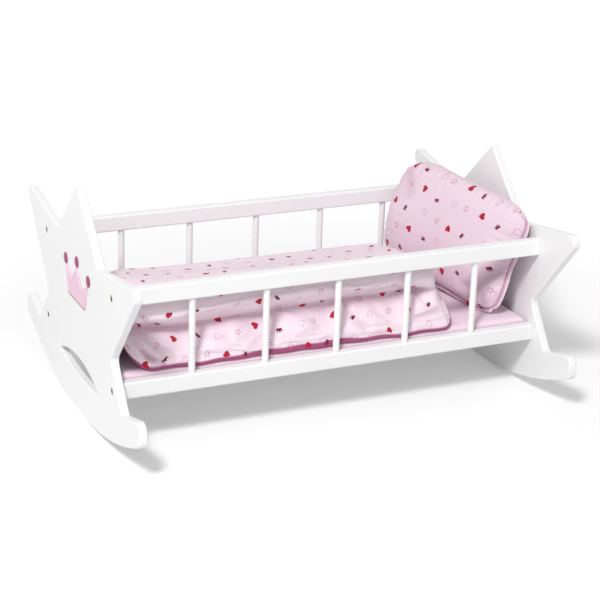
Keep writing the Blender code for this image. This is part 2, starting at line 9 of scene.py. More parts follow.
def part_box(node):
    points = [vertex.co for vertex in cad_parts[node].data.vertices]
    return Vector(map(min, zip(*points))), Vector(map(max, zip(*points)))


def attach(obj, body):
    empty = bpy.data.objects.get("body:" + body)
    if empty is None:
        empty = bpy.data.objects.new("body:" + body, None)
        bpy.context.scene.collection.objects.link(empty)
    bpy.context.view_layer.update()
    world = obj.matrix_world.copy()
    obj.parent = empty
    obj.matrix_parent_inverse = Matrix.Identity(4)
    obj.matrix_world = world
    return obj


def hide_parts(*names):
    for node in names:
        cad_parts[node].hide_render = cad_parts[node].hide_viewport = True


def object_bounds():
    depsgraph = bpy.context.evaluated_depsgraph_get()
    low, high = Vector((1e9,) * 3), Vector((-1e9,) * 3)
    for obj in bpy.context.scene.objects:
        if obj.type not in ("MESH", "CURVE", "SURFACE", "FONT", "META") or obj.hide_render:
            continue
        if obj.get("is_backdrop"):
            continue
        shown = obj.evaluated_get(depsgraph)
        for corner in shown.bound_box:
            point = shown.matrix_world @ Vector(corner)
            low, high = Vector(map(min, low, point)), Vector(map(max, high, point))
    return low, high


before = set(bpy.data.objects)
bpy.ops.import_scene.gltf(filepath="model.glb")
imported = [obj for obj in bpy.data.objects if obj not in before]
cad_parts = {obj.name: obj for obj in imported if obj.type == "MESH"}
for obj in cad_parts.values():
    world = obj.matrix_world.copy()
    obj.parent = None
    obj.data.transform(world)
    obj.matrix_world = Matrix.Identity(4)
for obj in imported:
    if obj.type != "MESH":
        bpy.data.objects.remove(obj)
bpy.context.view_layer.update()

# End panels
# Two boards of medium-density fibreboard, cut to one outline and stood up as foot and head.
# Their rims are rounded over with a router, then they are sprayed with satin white paint.

PAINT_WHITE = (0.895, 0.897, 0.895, 1.0)
PAINT_SHADE = (0.870, 0.874, 0.872, 1.0)
PAINT_ROUGHNESS_LOW = 0.30
PAINT_ROUGHNESS_HIGH = 0.46
PATCH_SCALE = 16.0
STIPPLE_SCALE = 850.0
STIPPLE_DEPTH = 0.00004
NO_GRAIN = (0.0, 0.0, 0.0)
GRAIN_SHARE = 0.5
GRAIN_DETAIL = 4.0
PLAIN_DETAIL = 2.0
MERGE_DISTANCE = 0.00001
RIM_ROUND = 0.0004
RIM_SEGMENTS = 2
RIM_ANGLE = math.radians(28)
FACE_AREA_WEIGHT = 100


def place(tree, kind, inputs=None, **settings):
    """Add a kind of shader node, set it up, and fill its inputs with values or outputs of others."""
    node = tree.nodes.new(f"ShaderNode{kind}")
    for name, value in settings.items():
        setattr(node, name, value)
    for name, value in (inputs or {}).items():
        if isinstance(value, bpy.types.NodeSocket):
            tree.links.new(value, node.inputs[name])
        else:
            node.inputs[name].default_value = value
    return node


def maths(tree, operation, *values):
    """Result of a sum, product or other operation on numbers or outputs."""
    return place(tree, "Math", dict(enumerate(values)), operation=operation).outputs[0]


def mixed(tree, factor, first, second):
    """Colour between two colours, by a factor from 0 to 1: inputs 6 and 7 and output 2 are colours."""
    node = place(tree, "Mix", {0: factor, 6: first, 7: second}, data_type="RGBA")
    return node.outputs[2]


def stepped(tree, value, start, end, low=0.0, high=1.0):
    """Smooth step from low to high as the value goes from start to end."""
    inputs = {"Value": value, "From Min": start, "From Max": end, "To Min": low, "To Max": high}
    return place(tree, "MapRange", inputs, interpolation_type="SMOOTHSTEP").outputs[0]


def noise(tree, vector, scale, detail=PLAIN_DETAIL):
    """Cloudy noise with a scale in clouds per unit of the vector, and a number of finer layers."""
    return place(tree, "TexNoise", {"Vector": vector, "Scale": scale, "Detail": detail}).outputs[0]


def start_group(name, inputs, outputs):
    """New shader group with its named sockets; gives back the tree, its inputs and its outputs."""
    tree = bpy.data.node_groups.new(name, "ShaderNodeTree")
    for socket, kind in inputs.items():
        tree.interface.new_socket(name=socket, in_out="INPUT", socket_type=f"NodeSocket{kind}")
    for socket, kind in outputs.items():
        tree.interface.new_socket(name=socket, in_out="OUTPUT", socket_type=f"NodeSocket{kind}")
    return tree, tree.nodes.new("NodeGroupInput").outputs, tree.nodes.new("NodeGroupOutput").inputs


def start_material(name):
    """New material with a Principled shader; gives back the material, its tree and the shader."""
    material = bpy.data.materials.new(name)
    material.use_nodes = True
    tree = material.node_tree
    return material, tree, tree.nodes["Principled BSDF"]


def add_surface(tree, shader, colour, height, depth):
    """Give a shader its colour, and a height that stands out by the given depth."""
    bump = place(tree, "Bump", {"Height": height, "Distance": depth})
    tree.links.new(colour, shader.inputs["Base Color"])
    tree.links.new(bump.outputs[0], shader.inputs["Normal"])


def sprayed_paint_group():
    """Satin paint: broad soft patches of shade, a fine stipple, and the grain of wood below."""
    tree, given, out = start_group("sprayed paint", {"Vector": "Vector", "Grain Stretch": "Vector"},
                                   {"Patches": "Float", "Height": "Float"})
    stretched = place(tree, "VectorMath", {
        0: given["Vector"], 1: given["Grain Stretch"]}, operation="MULTIPLY")
    grain = noise(tree, stretched.outputs[0], 1.0, GRAIN_DETAIL)
    stipple = noise(tree, given["Vector"], STIPPLE_SCALE)
    tree.links.new(noise(tree, given["Vector"], PATCH_SCALE), out["Patches"])
    tree.links.new(maths(tree, "MULTIPLY_ADD", grain, GRAIN_SHARE, stipple), out["Height"])
    return tree


paint_group = sprayed_paint_group()


def sprayed_paint(tree, grain_stretch):
    """Patches and height of the paint, over wood whose grain is drawn out by a scale on each axis."""
    where = place(tree, "TexCoord").outputs["Object"]
    inputs = {"Vector": where, "Grain Stretch": grain_stretch}
    return place(tree, "Group", inputs, node_tree=paint_group).outputs


def painted_wood(name, grain_stretch):
    """White satin paint over wood, duller in some patches."""
    material, tree, shader = start_material(name)
    patches, height = sprayed_paint(tree, grain_stretch)
    rough = stepped(tree, patches, 0.0, 1.0, PAINT_ROUGHNESS_LOW, PAINT_ROUGHNESS_HIGH)
    tree.links.new(rough, shader.inputs["Roughness"])
    add_surface(tree, shader, mixed(tree, patches, PAINT_SHADE, PAINT_WHITE), height, STIPPLE_DEPTH)
    return material


def merged_smooth_group():
    """Geometry steps that join a node's loose triangles and shade them as one smooth skin."""
    tree = bpy.data.node_groups.new("merged and smooth", "GeometryNodeTree")
    tree.interface.new_socket(name="Geometry", in_out="INPUT", socket_type="NodeSocketGeometry")
    tree.interface.new_socket(name="Geometry", in_out="OUTPUT", socket_type="NodeSocketGeometry")
    merged = tree.nodes.new("GeometryNodeMergeByDistance")
    merged.inputs["Distance"].default_value = MERGE_DISTANCE
    smooth = tree.nodes.new("GeometryNodeSetShadeSmooth")
    tree.links.new(tree.nodes.new("NodeGroupInput").outputs[0], merged.inputs["Geometry"])
    tree.links.new(merged.outputs[0], smooth.inputs["Geometry"])
    tree.links.new(smooth.outputs[0], tree.nodes.new("NodeGroupOutput").inputs[0])
    return tree


merged_smooth = merged_smooth_group()


def finish_wood(node_name, material):
    """Give a wooden part its paint, soften its last sharp rims and even out its shading."""
    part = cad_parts[node_name]
    part.data.materials[0] = material
    joined = part.modifiers.new("joined", "NODES")
    joined.node_group = merged_smooth
    rims = part.modifiers.new("rims", "BEVEL")
    rims.width = RIM_ROUND
    rims.segments = RIM_SEGMENTS
    rims.limit_method = "ANGLE"
    rims.angle_limit = RIM_ANGLE
    shading = part.modifiers.new("shading", "WEIGHTED_NORMAL")
    shading.weight = FACE_AREA_WEIGHT


fibreboard_paint = painted_wood("painted_fibreboard", NO_GRAIN)
for end in ("foot", "head"):
    finish_wood(f"{end}_end_panel", fibreboard_paint)

# Side frames
# Each side is a top and a bottom rail of planed pine with five round dowels between them.
# The dowels are glued into blind holes, and the whole frame is painted like the panels.

RAIL_GRAIN = (9.0, 420.0, 420.0)
DOWEL_GRAIN = (520.0, 520.0, 12.0)
DOWEL_NUMBERS = range(1, 6)

rail_paint = painted_wood("painted_rails", RAIL_GRAIN)
dowel_paint = painted_wood("painted_dowels", DOWEL_GRAIN)
for side in ("front", "back"):
    for level in ("top", "bottom"):
        finish_wood(f"{side}_{level}_rail", rail_paint)
    for number in DOWEL_NUMBERS:
        finish_wood(f"{side}_spindle_{number}", dowel_paint)

# Bed base
# A thin fibreboard sheet, painted white, that slides into the grooves of the bottom rails.
# It carries the mattress, and shows only from below.

finish_wood("base_board", fibreboard_paint)

# Screws
# Eight countersunk furniture screws of yellow zinc-plated steel hold the panels to the rails.
# Each has a hexagon socket, faint turning marks on its head and a coarse thread in the rail.

SCREW_HEAD_RADIUS = 0.0040
SCREW_HEAD_DEPTH = 0.0026
SCREW_RIM = 0.0002
SCREW_SHANK_RADIUS = 0.0021
SCREW_CORE_RADIUS = 0.0016
SCREW_LENGTH = 0.036
SCREW_TIP_LENGTH = 0.003
SCREW_THREAD_START = 0.010
SCREW_THREAD_PITCH = 0.0018
SCREW_SOCKET_HALF_WIDTH = 0.0020
SCREW_SOCKET_DEPTH = 0.0022
SCREW_SOCKET_CHAMFER = 0.0002
SCREW_SIDES = 48
THREAD_STEPS = 130
THREAD_POWER = 3
HEXAGON_SIDES = 6
ZINC_YELLOW = (0.42, 0.37, 0.20, 1.0)
ZINC_GREEN = (0.30, 0.33, 0.22, 1.0)
ZINC_ROUGHNESS = 0.34
ZINC_PATCH_SCALE = 380.0
TURNING_SCALE = 5200.0
TURNING_DEPTH = 0.00002


def corners_of(grid):
    """Values of a grid at the four corners of every face between its neighbours."""
    around = (grid[:-1, :-1], grid[:-1, 1:], grid[1:, 1:], grid[1:, :-1])
    return np.stack(around, axis=2).reshape((-1, 4) + grid.shape[2:])


def numbered(rows, columns, wrapped=False):
    """Point numbers of a grid; a wrapped one gets its first column again after its last."""
    numbers = np.arange(rows * columns).reshape(rows, columns)
    return np.hstack([numbers, numbers[:, :1]]) if wrapped else numbers


def wrapped_faces(points):
    """Faces between the neighbours of a grid of points that closes round each row."""
    return corners_of(numbered(*points.shape[:2], wrapped=True)).tolist()


def add_object(name, data):
    """New object of a mesh, a lamp or a camera in the scene."""
    added = bpy.data.objects.new(name, data)
    bpy.context.scene.collection.objects.link(added)
    return added


def make_piece(name, points, faces, flat, material, **shares):
    """Mesh object of points and faces, with flat coordinates at the face corners and shares at points.

    Without flat coordinates it takes each point's y and z. Points in one place become one, so
    that seams and poles are closed, and faces are turned out.
    """
    points = points.reshape(-1, 3)
    mesh = bpy.data.meshes.new(name)
    mesh.from_pydata(points.tolist(), [], faces)
    if flat is None:
        flat = points[np.concatenate(faces), 1:]
    mesh.uv_layers.new(name="flat").data.foreach_set("uv", flat.astype(np.float32).ravel())
    for share, values in shares.items():
        layer = mesh.attributes.new(share, "FLOAT", "POINT")
        layer.data.foreach_set("value", values.astype(np.float32).ravel())
    shape = bmesh.new()
    shape.from_mesh(mesh)
    bmesh.ops.remove_doubles(shape, verts=shape.verts, dist=MERGE_DISTANCE)
    bmesh.ops.recalc_face_normals(shape, faces=shape.faces)
    shape.to_mesh(mesh)
    shape.free()
    mesh.shade_smooth()
    mesh.materials.append(material)
    return add_object(name, mesh)


def turned_points(depths, radii, angles):
    """Points of a form turned about the X axis: depth along X, and the radius carried round it.

    depths and radii are given for each ring, or for each ring and angle.
    """
    depths, radii = np.broadcast_arrays(depths, radii)
    return np.stack([depths, radii * np.cos(angles), radii * np.sin(angles)], axis=-1)


def screw_points():
    """Screw from the middle of its socket over the head and down the shank to its tip.

    The socket's radius follows a hexagon, and the thread's radius a saw wave that climbs one
    pitch for each turn.
    """
    angles = np.arange(SCREW_SIDES) * math.tau / SCREW_SIDES
    sector = math.tau / HEXAGON_SIDES
    hexagon = 1 / np.cos((angles + sector / 2) % sector - sector / 2)
    circle = np.ones(SCREW_SIDES)
    socket = SCREW_SOCKET_HALF_WIDTH * hexagon
    mouth = (SCREW_SOCKET_HALF_WIDTH + SCREW_SOCKET_CHAMFER) * hexagon
    head = [
        (SCREW_SOCKET_DEPTH, socket * 0.0),
        (SCREW_SOCKET_DEPTH, socket / 2),
        (SCREW_SOCKET_DEPTH, socket),
        (SCREW_SOCKET_CHAMFER, socket),
        (0.0, mouth),
        (0.0, (SCREW_HEAD_RADIUS - SCREW_RIM) * circle),
        (SCREW_RIM, SCREW_HEAD_RADIUS * circle),
        (SCREW_HEAD_DEPTH, SCREW_SHANK_RADIUS * circle),
        (SCREW_THREAD_START, SCREW_SHANK_RADIUS * circle),
    ]
    depths = np.array([depth for depth, radius in head])[:, None]
    radii = np.array([radius for depth, radius in head])
    thread_depths = np.linspace(SCREW_THREAD_START, SCREW_LENGTH - SCREW_TIP_LENGTH, THREAD_STEPS)[1:, None]
    climb = (thread_depths / SCREW_THREAD_PITCH - angles / math.tau) % 1.0
    ridge = np.abs(2 * climb - 1) ** THREAD_POWER
    thread_radii = SCREW_CORE_RADIUS + (SCREW_SHANK_RADIUS - SCREW_CORE_RADIUS) * ridge
    tip_depth = np.full((1, 1), SCREW_LENGTH)
    tip_radius = np.zeros((1, SCREW_SIDES))
    all_depths = np.vstack([depths, thread_depths, tip_depth]) * circle
    all_radii = np.vstack([radii, thread_radii, tip_radius])
    return turned_points(all_depths, all_radii, angles)


def times(tree, first, second):
    """Product of two numbers or outputs."""
    return maths(tree, "MULTIPLY", first, second)


def split(tree, vector):
    """The three parts of a vector."""
    return place(tree, "SeparateXYZ", {0: vector}).outputs


def zinc_plate():
    """Yellow zinc plating: metal that shifts from yellow to green, with marks of turning."""
    material, tree, shader = start_material("yellow_zinc_plate")
    where = place(tree, "TexCoord").outputs["Object"]
    flat = place(tree, "UVMap", uv_map="flat").outputs[0]
    rings = maths(tree, "SINE", times(tree, split(tree, flat)[0], TURNING_SCALE))
    colour = mixed(tree, noise(tree, where, ZINC_PATCH_SCALE), ZINC_YELLOW, ZINC_GREEN)
    shader.inputs["Metallic"].default_value = 1.0
    shader.inputs["Roughness"].default_value = ZINC_ROUGHNESS
    add_surface(tree, shader, colour, rings, TURNING_DEPTH)
    return material


zinc = zinc_plate()
screw_shape = screw_points()
screw_faces = wrapped_faces(screw_shape)
screw_travel = np.hypot(screw_shape[..., 1], screw_shape[..., 2]) + screw_shape[..., 0]
screw_flat = np.stack([np.hstack([screw_travel, screw_travel[:, :1]]),
                       np.zeros((screw_shape.shape[0], SCREW_SIDES + 1))], axis=-1)
for end, inward in (("foot", 1), ("head", -1)):
    for side in ("front", "back"):
        for level in ("top", "bottom"):
            node_name = f"{end}_screw_{side}_{level}"
            low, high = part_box(node_name)
            face = low.x if inward > 0 else high.x
            middle = np.array([face, (low.y + high.y) / 2, (low.z + high.z) / 2])
            screw_place = screw_shape * np.array([inward, inward, 1]) + middle
            screw = make_piece(f"{node_name}_detail", screw_place, screw_faces, corners_of(screw_flat), zinc)
            screw.data.set_sharp_from_angle(angle=RIM_ANGLE)
            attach(screw, "frame")
            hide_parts(node_name)

# Crown motif
# A thin wooden plate in the form of a three-pointed crown, with a round disc above each point.
# The plate is painted pale pink with a dark line along its base, the discs dark pink, and
# all are glued to the outer face of each end panel.

CROWN_CORNERS = np.array([
    (-0.0270, 0.0),
    (0.0270, 0.0),
    (0.0366, 0.0291),
    (0.0172, 0.0185),
    (0.0, 0.0371),
    (-0.0172, 0.0185),
    (-0.0366, 0.0291),
])
CROWN_EDGE = 0.0002
CROWN_RIM_WIDTH = 0.0011
CROWN_LINE_HEIGHT = 0.0014
CROWN_RIM_STEP = 0.00015
CROWN_SIDE_POINTS = 12
DISC_RINGS = 8
DISC_SIDES = 48
DISC_DOME_POWER = 0.4
CROWN_PINK = (0.86, 0.60, 0.72, 1.0)
CROWN_PINK_SHADE = (0.80, 0.53, 0.66, 1.0)
CROWN_DARK = (0.36, 0.035, 0.13, 1.0)
CROWN_DARK_SHADE = (0.29, 0.025, 0.10, 1.0)
CROWN_ROUGHNESS = 0.42


def own_value(tree, name):
    """A value that a piece carries at its points."""
    return place(tree, "Attribute", attribute_name=name).outputs["Fac"]


def coloured_paint(name):
    """Paint, pale, and dark where the piece's line share is 1, stippled like the white."""
    material, tree, shader = start_material(name)
    patches, height = sprayed_paint(tree, NO_GRAIN)
    pale = mixed(tree, patches, CROWN_PINK_SHADE, CROWN_PINK)
    dark = mixed(tree, patches, CROWN_DARK_SHADE, CROWN_DARK)
    colour = mixed(tree, own_value(tree, "line"), pale, dark)
    add_surface(tree, shader, colour, height, STIPPLE_DEPTH)
    shader.inputs["Roughness"].default_value = CROWN_ROUGHNESS
    return material


def crown_ring(distance):
    """Crown outline drawn in by a distance at mitred corners, its points even along each side."""
    before = CROWN_CORNERS - np.roll(CROWN_CORNERS, 1, axis=0)
    before /= np.linalg.norm(before, axis=1, keepdims=True)
    both = before + np.roll(before, -1, axis=0)
    inward = np.stack([-both[:, 1], both[:, 0]], axis=1)
    bend = 1 + (before * np.roll(before, -1, axis=0)).sum(axis=1, keepdims=True)
    drawn = CROWN_CORNERS + inward / bend * distance
    step = (np.roll(drawn, -1, axis=0) - drawn) / CROWN_SIDE_POINTS
    return (drawn[:, None] + step[:, None] * np.arange(CROWN_SIDE_POINTS)[:, None]).reshape(-1, 2)


def crown_plate(name, face, back, base, material):
    """Plate from its back up over a rounded edge and a flat rim, then down a step to the field.

    The line share is 1 on the rim along the base.
    """
    up = math.copysign(1.0, face - back)
    rings = [
        (back, 0.0),
        (face - up * CROWN_EDGE, 0.0),
        (face, CROWN_EDGE),
        (face, CROWN_RIM_WIDTH),
        (face - up * CROWN_RIM_STEP, CROWN_RIM_WIDTH + CROWN_RIM_STEP),
    ]
    outlines = np.stack([crown_ring(distance) for depth, distance in rings])
    depths = np.array([depth for depth, distance in rings])[:, None, None]
    line = (outlines[..., 1] < CROWN_LINE_HEIGHT) * 1.0
    line[-1] = 0.0
    shape = np.concatenate([np.broadcast_to(depths, outlines[..., :1].shape), outlines], axis=-1)
    shape[..., 2] += base
    numbers = numbered(*shape.shape[:2], wrapped=True)
    faces = corners_of(numbers).tolist() + [numbers[0, :-1].tolist(), numbers[-1, :-1].tolist()]
    return make_piece(name, shape, faces, None, material, line=line)


def crown_disc(name, face, back, middle, radius, material):
    """Disc with a domed face: its height falls from the middle as a power of the distance to the rim."""
    shares = np.sin(np.linspace(0.0, 1.0, DISC_RINGS) * math.pi / 2)
    heights = (1 - shares ** 2) ** DISC_DOME_POWER
    depths = np.append(back + (face - back) * heights, back)[:, None]
    radii = np.append(shares, 0.0)[:, None] * radius
    angles = np.arange(DISC_SIDES) * math.tau / DISC_SIDES
    shape = turned_points(depths, radii * np.ones(DISC_SIDES), angles) + middle
    return make_piece(name, shape, wrapped_faces(shape), None, material, line=np.ones(shape.shape[:2]))


crown_paint = coloured_paint("crown_paint")
for end in ("foot", "head"):
    low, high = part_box(f"{end}_crown")
    face, back = (low.x, high.x) if end == "foot" else (high.x, low.x)
    crown = crown_plate(f"{end}_crown_detail", face, back, low.z, crown_paint)
    crown.data.set_sharp_from_angle(angle=RIM_ANGLE)
    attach(crown, "frame")
    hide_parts(f"{end}_crown")
    for spot in ("front", "middle", "back"):
        node_name = f"{end}_crown_dot_{spot}"
        low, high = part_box(node_name)
        middle = np.array([0.0, (low.y + high.y) / 2, (low.z + high.z) / 2])
        disc = crown_disc(f"{node_name}_detail", face, back, middle, (high.y - low.y) / 2, crown_paint)
        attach(disc, "frame")
        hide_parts(node_name)

# Mattress
# A thin foam pad in a plain pink cotton case, boxed, with a corded seam round its side.
# It lies loose on the bed base, flat under the quilt and the pillow.

MATTRESS_EDGE_ROUND = 0.0075
MATTRESS_COLUMNS = 150
MATTRESS_ROWS = 70
MATTRESS_SEAM_PULL = 0.0012
MATTRESS_SEAM_WIDTH = 0.0014
MATTRESS_HOLLOW = 0.0005
MATTRESS_HOLLOW_LENGTHS = (0.061, 0.043)
CORD_RADIUS = 0.0009
CORD_SIDES = 10
WEAVE_PITCH = 0.00045
WEAVE_DEPTH = 0.00006
SLUB_SCALE_ALONG = 60.0
SLUB_SCALE_ACROSS = 900.0
CREASE_SCALE = 75.0
CREASE_DETAIL = 3.0
CREASE_SHARE = 5.0
PLAIN_PINK = (0.90, 0.72, 0.82, 1.0)
COTTON_ROUGHNESS = 0.88
COTTON_SHEEN = 0.15
COTTON_SPECULAR = 0.25
COTTON_TONE_LOW = 0.965
COTTON_TONE_RANGE = (0.1, 0.4)
STITCH_HALF = 0.00045
STITCH_LENGTH = 0.0030
STITCH_GAP_SHARE = 0.35
STITCH_DEPTH = 6.0
NO_STITCHES = 1.0


def woven_cotton_group():
    """Plain weave as a product of two sine waves, with slubs along both threads and soft creases."""
    tree, given, out = start_group("woven cotton", {"Vector": "Vector"},
                                   {"Tone": "Float", "Height": "Float"})
    parts = split(tree, given["Vector"])
    turns = math.pi / WEAVE_PITCH
    across = maths(tree, "SINE", times(tree, parts[0], turns))
    along = maths(tree, "SINE", times(tree, parts[1], turns))
    weave = times(tree, across, along)
    slubs = []
    for scale in ((SLUB_SCALE_ALONG, SLUB_SCALE_ACROSS, 1.0), (SLUB_SCALE_ACROSS, SLUB_SCALE_ALONG, 1.0)):
        drawn = place(tree, "VectorMath", {0: given["Vector"], 1: scale}, operation="MULTIPLY")
        slubs.append(noise(tree, drawn.outputs[0], 1.0))
    tone = times(tree, *slubs)
    creases = noise(tree, given["Vector"], CREASE_SCALE, CREASE_DETAIL)
    height = maths(tree, "MULTIPLY_ADD", creases, CREASE_SHARE, maths(tree, "ADD", weave, tone))
    tree.links.new(tone, out["Tone"])
    tree.links.new(height, out["Height"])
    return tree


cotton_group = woven_cotton_group()


def stitch_line(tree, flat):
    """1 in the stitches of the row where the piece's stitch distance is nothing, else 0.

    A piece without them carries a distance that is far past any stitch.
    """
    line = stepped(tree, maths(tree, "ABSOLUTE", own_value(tree, "stitch")), STITCH_HALF, 0.0)
    along = maths(tree, "FRACT", maths(tree, "DIVIDE", split(tree, flat)[0], STITCH_LENGTH))
    return times(tree, line, maths(tree, "GREATER_THAN", along, STITCH_GAP_SHARE))


def cotton(name, colour, painted_shade_colour, print_group=None):
    """Woven cotton with painted shade: darker where the piece has a high fold share; with or without a
    print.
    """
    material, tree, shader = start_material(name)
    flat = place(tree, "UVMap", uv_map="flat").outputs[0]
    tone, height = place(tree, "Group", {"Vector": flat}, node_tree=cotton_group).outputs
    # Painted shade: the fold share darkens the cloth towards the shade colour in folds, creases and seams.
    cloth = mixed(tree, own_value(tree, "fold"), colour, painted_shade_colour)
    if print_group:
        inputs = {"Vector": flat, "Cloth": cloth}
        cloth = place(tree, "Group", inputs, node_tree=print_group).outputs[0]
    shade = stepped(tree, tone, *COTTON_TONE_RANGE, COTTON_TONE_LOW, 1.0)
    toned = place(tree, "VectorMath", {0: cloth, "Scale": shade}, operation="SCALE")
    stitched = maths(tree, "MULTIPLY_ADD", stitch_line(tree, flat), -STITCH_DEPTH, height)
    add_surface(tree, shader, toned.outputs[0], stitched, WEAVE_DEPTH)
    shader.inputs["Roughness"].default_value = COTTON_ROUGHNESS
    shader.inputs["Sheen Weight"].default_value = COTTON_SHEEN
    shader.inputs["Specular IOR Level"].default_value = COTTON_SPECULAR
    return material


def gathered(count):
    """Even steps from -1 to 1 drawn together towards both ends, as a sine."""
    return np.sin(np.linspace(-1.0, 1.0, count) * math.pi / 2)


def two_sided(name, upper, lower, flat, material, **shares):
    """Piece of an upper and a lower grid that meet along their rims; the shares hold for both."""
    numbers = numbered(*upper.shape[:2])
    faces = np.concatenate([corners_of(numbers), corners_of(numbers + numbers.size)[:, ::-1]])
    corners = corners_of(flat)
    both = {share: np.stack([values, values]) for share, values in shares.items()}
    return make_piece(name, np.stack([upper, lower]), faces.tolist(),
                      np.concatenate([corners, corners[:, ::-1]]), material, **both)


def mattress_sides(low, high):
    """Upper and lower face over x and y: level, falling to the seam as a quarter circle round the rim.

    The seam draws the rim in a little, and shallow sine hollows run over the upper face.
    """
    half_length = (high.x - low.x) / 2
    half_width = (high.y - low.y) / 2
    half_height = (high.z - low.z) / 2
    x, y = np.meshgrid(gathered(MATTRESS_COLUMNS) * half_length, gathered(MATTRESS_ROWS) * half_width)
    from_rim = np.minimum(half_length - np.abs(x), half_width - np.abs(y))
    fall = np.clip(1 - from_rim / MATTRESS_EDGE_ROUND, 0.0, 1.0)
    rise = half_height * np.sqrt(1 - fall ** 2)
    drawn = MATTRESS_SEAM_PULL * np.exp(-rise / MATTRESS_SEAM_WIDTH)
    x -= np.sign(x) * drawn * (half_length - np.abs(x) < MATTRESS_EDGE_ROUND)
    y -= np.sign(y) * drawn * (half_width - np.abs(y) < MATTRESS_EDGE_ROUND)
    waves = [math.tau / length for length in MATTRESS_HOLLOW_LENGTHS]
    hollow = MATTRESS_HOLLOW * (1 - fall) * (1 + np.sin(x * waves[0] + y * waves[1])) / 2
    level = (low.z + high.z) / 2
    upper = np.stack([x, y, level + rise - hollow], axis=-1)
    lower = np.stack([x, y, level - rise], axis=-1)
    return upper, lower


def rim_of(grid):
    """Points round the rim of a grid, in order."""
    return np.concatenate([grid[0, :-1], grid[:-1, -1], grid[-1, :0:-1], grid[:0:-1, 0]])


def cord_along(name, path, normal, radius, material):
    """Round cord whose centre follows a closed path: a circle set square to the path at each point."""
    ahead = np.roll(path, -1, axis=0) - np.roll(path, 1, axis=0)
    ahead /= np.linalg.norm(ahead, axis=1, keepdims=True)
    out = np.cross(ahead, normal)
    out /= np.linalg.norm(out, axis=1, keepdims=True)
    up = np.cross(out, ahead)
    angles = (np.arange(CORD_SIDES) * math.tau / CORD_SIDES)[None, :, None]
    ring = (out[:, None] * np.cos(angles) + up[:, None] * np.sin(angles)) * radius
    shape = np.concatenate([path[:, None] + ring, (path[:, None] + ring)[:1]])
    travel = np.append(0.0, np.cumsum(np.linalg.norm(np.roll(path, -1, axis=0) - path, axis=1)))
    turn = np.arange(CORD_SIDES + 1) * math.tau / CORD_SIDES * radius
    flat = np.stack(np.meshgrid(travel, turn, indexing="ij"), axis=-1)
    return make_piece(name, shape, wrapped_faces(shape), corners_of(flat), material,
                      stitch=np.full(shape.shape[:2], NO_STITCHES))


plain_cotton = cotton("plain_pink_cotton", PLAIN_PINK, PLAIN_PINK)
mattress_low, mattress_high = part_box("mattress")
mattress_upper, mattress_lower = mattress_sides(mattress_low, mattress_high)
mattress_flat = mattress_upper[..., :2]
mattress = two_sided("mattress_case", mattress_upper, mattress_lower, mattress_flat, plain_cotton,
                     stitch=np.full(mattress_flat.shape[:2], NO_STITCHES))
mattress_cord = cord_along("mattress_cord", rim_of(mattress_upper), (0.0, 0.0, 1.0), CORD_RADIUS,
                           plain_cotton)
for piece in (mattress, mattress_cord):
    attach(piece, "mattress")
    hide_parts("mattress")

# Pillow
# A soft oblong cushion in printed pale pink cotton, sewn from two sheets with a narrow flange.
# It stands on the mattress at the head end, leaning back and a little turned.

PILLOW_WIDTH = 0.214
PILLOW_DEPTH = 0.135
PILLOW_THICKNESS = 0.046
PILLOW_FLANGE = 0.0060
PILLOW_FAR_FLANGE = 0.0012
PILLOW_FLANGE_HALF = 0.0006
PILLOW_DRAW_IN = 0.006
PILLOW_FAR_DRAW_IN = 0.001
PILLOW_TAPER = 0.008
PILLOW_CORNER_SAG = 0.005
PILLOW_CORNER_ROUND = 0.013
PILLOW_CORNER_POWER = 4
PILLOW_CROWN_POWER = 0.42
PILLOW_LEAN_DEGREES = 15
PILLOW_TURN_DEGREES = 14
PILLOW_ROLL_DEGREES = 4
PILLOW_COLUMNS = 104
PILLOW_ROWS = 78
PILLOW_PUCKER_DEPTH = 0.0009
PILLOW_PUCKER_REACH = 0.014
PILLOW_PUCKER_LENGTHS = (0.0113, 0.0077)
RIM_FADE_SHARE = 0.5
PILLOW_FOLDS = (
    {"start": (0.092, 0.002), "end": (0.050, -0.044), "width": 0.0080, "depth": 0.0095},
    {"start": (0.090, -0.036), "end": (0.076, -0.058), "width": 0.0045, "depth": 0.0025},
    {"start": (-0.088, 0.048), "end": (-0.066, 0.024), "width": 0.0090, "depth": 0.0018},
)
PILLOW_PLUMP = 0.008
PILLOW_PLUMP_PLACE = (-0.080, 0.002)
PILLOW_PLUMP_REACH = 0.034
FOLD_FADE = 0.30
# Painted shade: how much of the darker pink goes into the pillow's folds and its seams.
PILLOW_FOLD_PAINTED_SHADE = 0.16
SEAM_PAINTED_SHADE = 0.7
FAR_SEAM_PAINTED_SHADE = 0.12
PILLOW_PRESSURE = 4.0
PILLOW_SPARE = 0.03
PILLOW_REACH = 0.005
PILLOW_HELD_HEIGHT = 0.004
CLOTH_FRAMES = 20
FLANGE_ROWS = 2
PRINT_PITCH = 0.0235
PRINT_DROP = 0.5
CELL_MIDDLE = 0.5
MOTIF_HALF_SIZE = 0.0038
MOTIF_TURN_RANGE = math.tau
MOTIF_SHIFT = 0.35
MOTIF_EDGE = 0.06
MOTIF_FILLED = -1.0
MOTIF_MARGIN = 0.1
HEART_TALL = 1.1
HEART_LOBE = 0.8
HEART_DROP = 0.2
HEART_LINE_SHARE = 0.80
STAR_POINTS = 5
STAR_TIP = 1.1
STAR_VALLEY = 0.52
STAR_LINE_SHARE = 0.72
CROWN_PRINT_HALF = 0.80
CROWN_PRINT_DROP = 0.60
CROWN_PRINT_POINT = 0.75
CROWN_PRINT_PERIOD = 0.8
# Painted shade: the pillow's pink is a darker copy of the quilt's cotton, for the lesser light it gets.
PILLOW_PINK_PAINTED_SHADE = (0.83, 0.655, 0.745, 1.0)
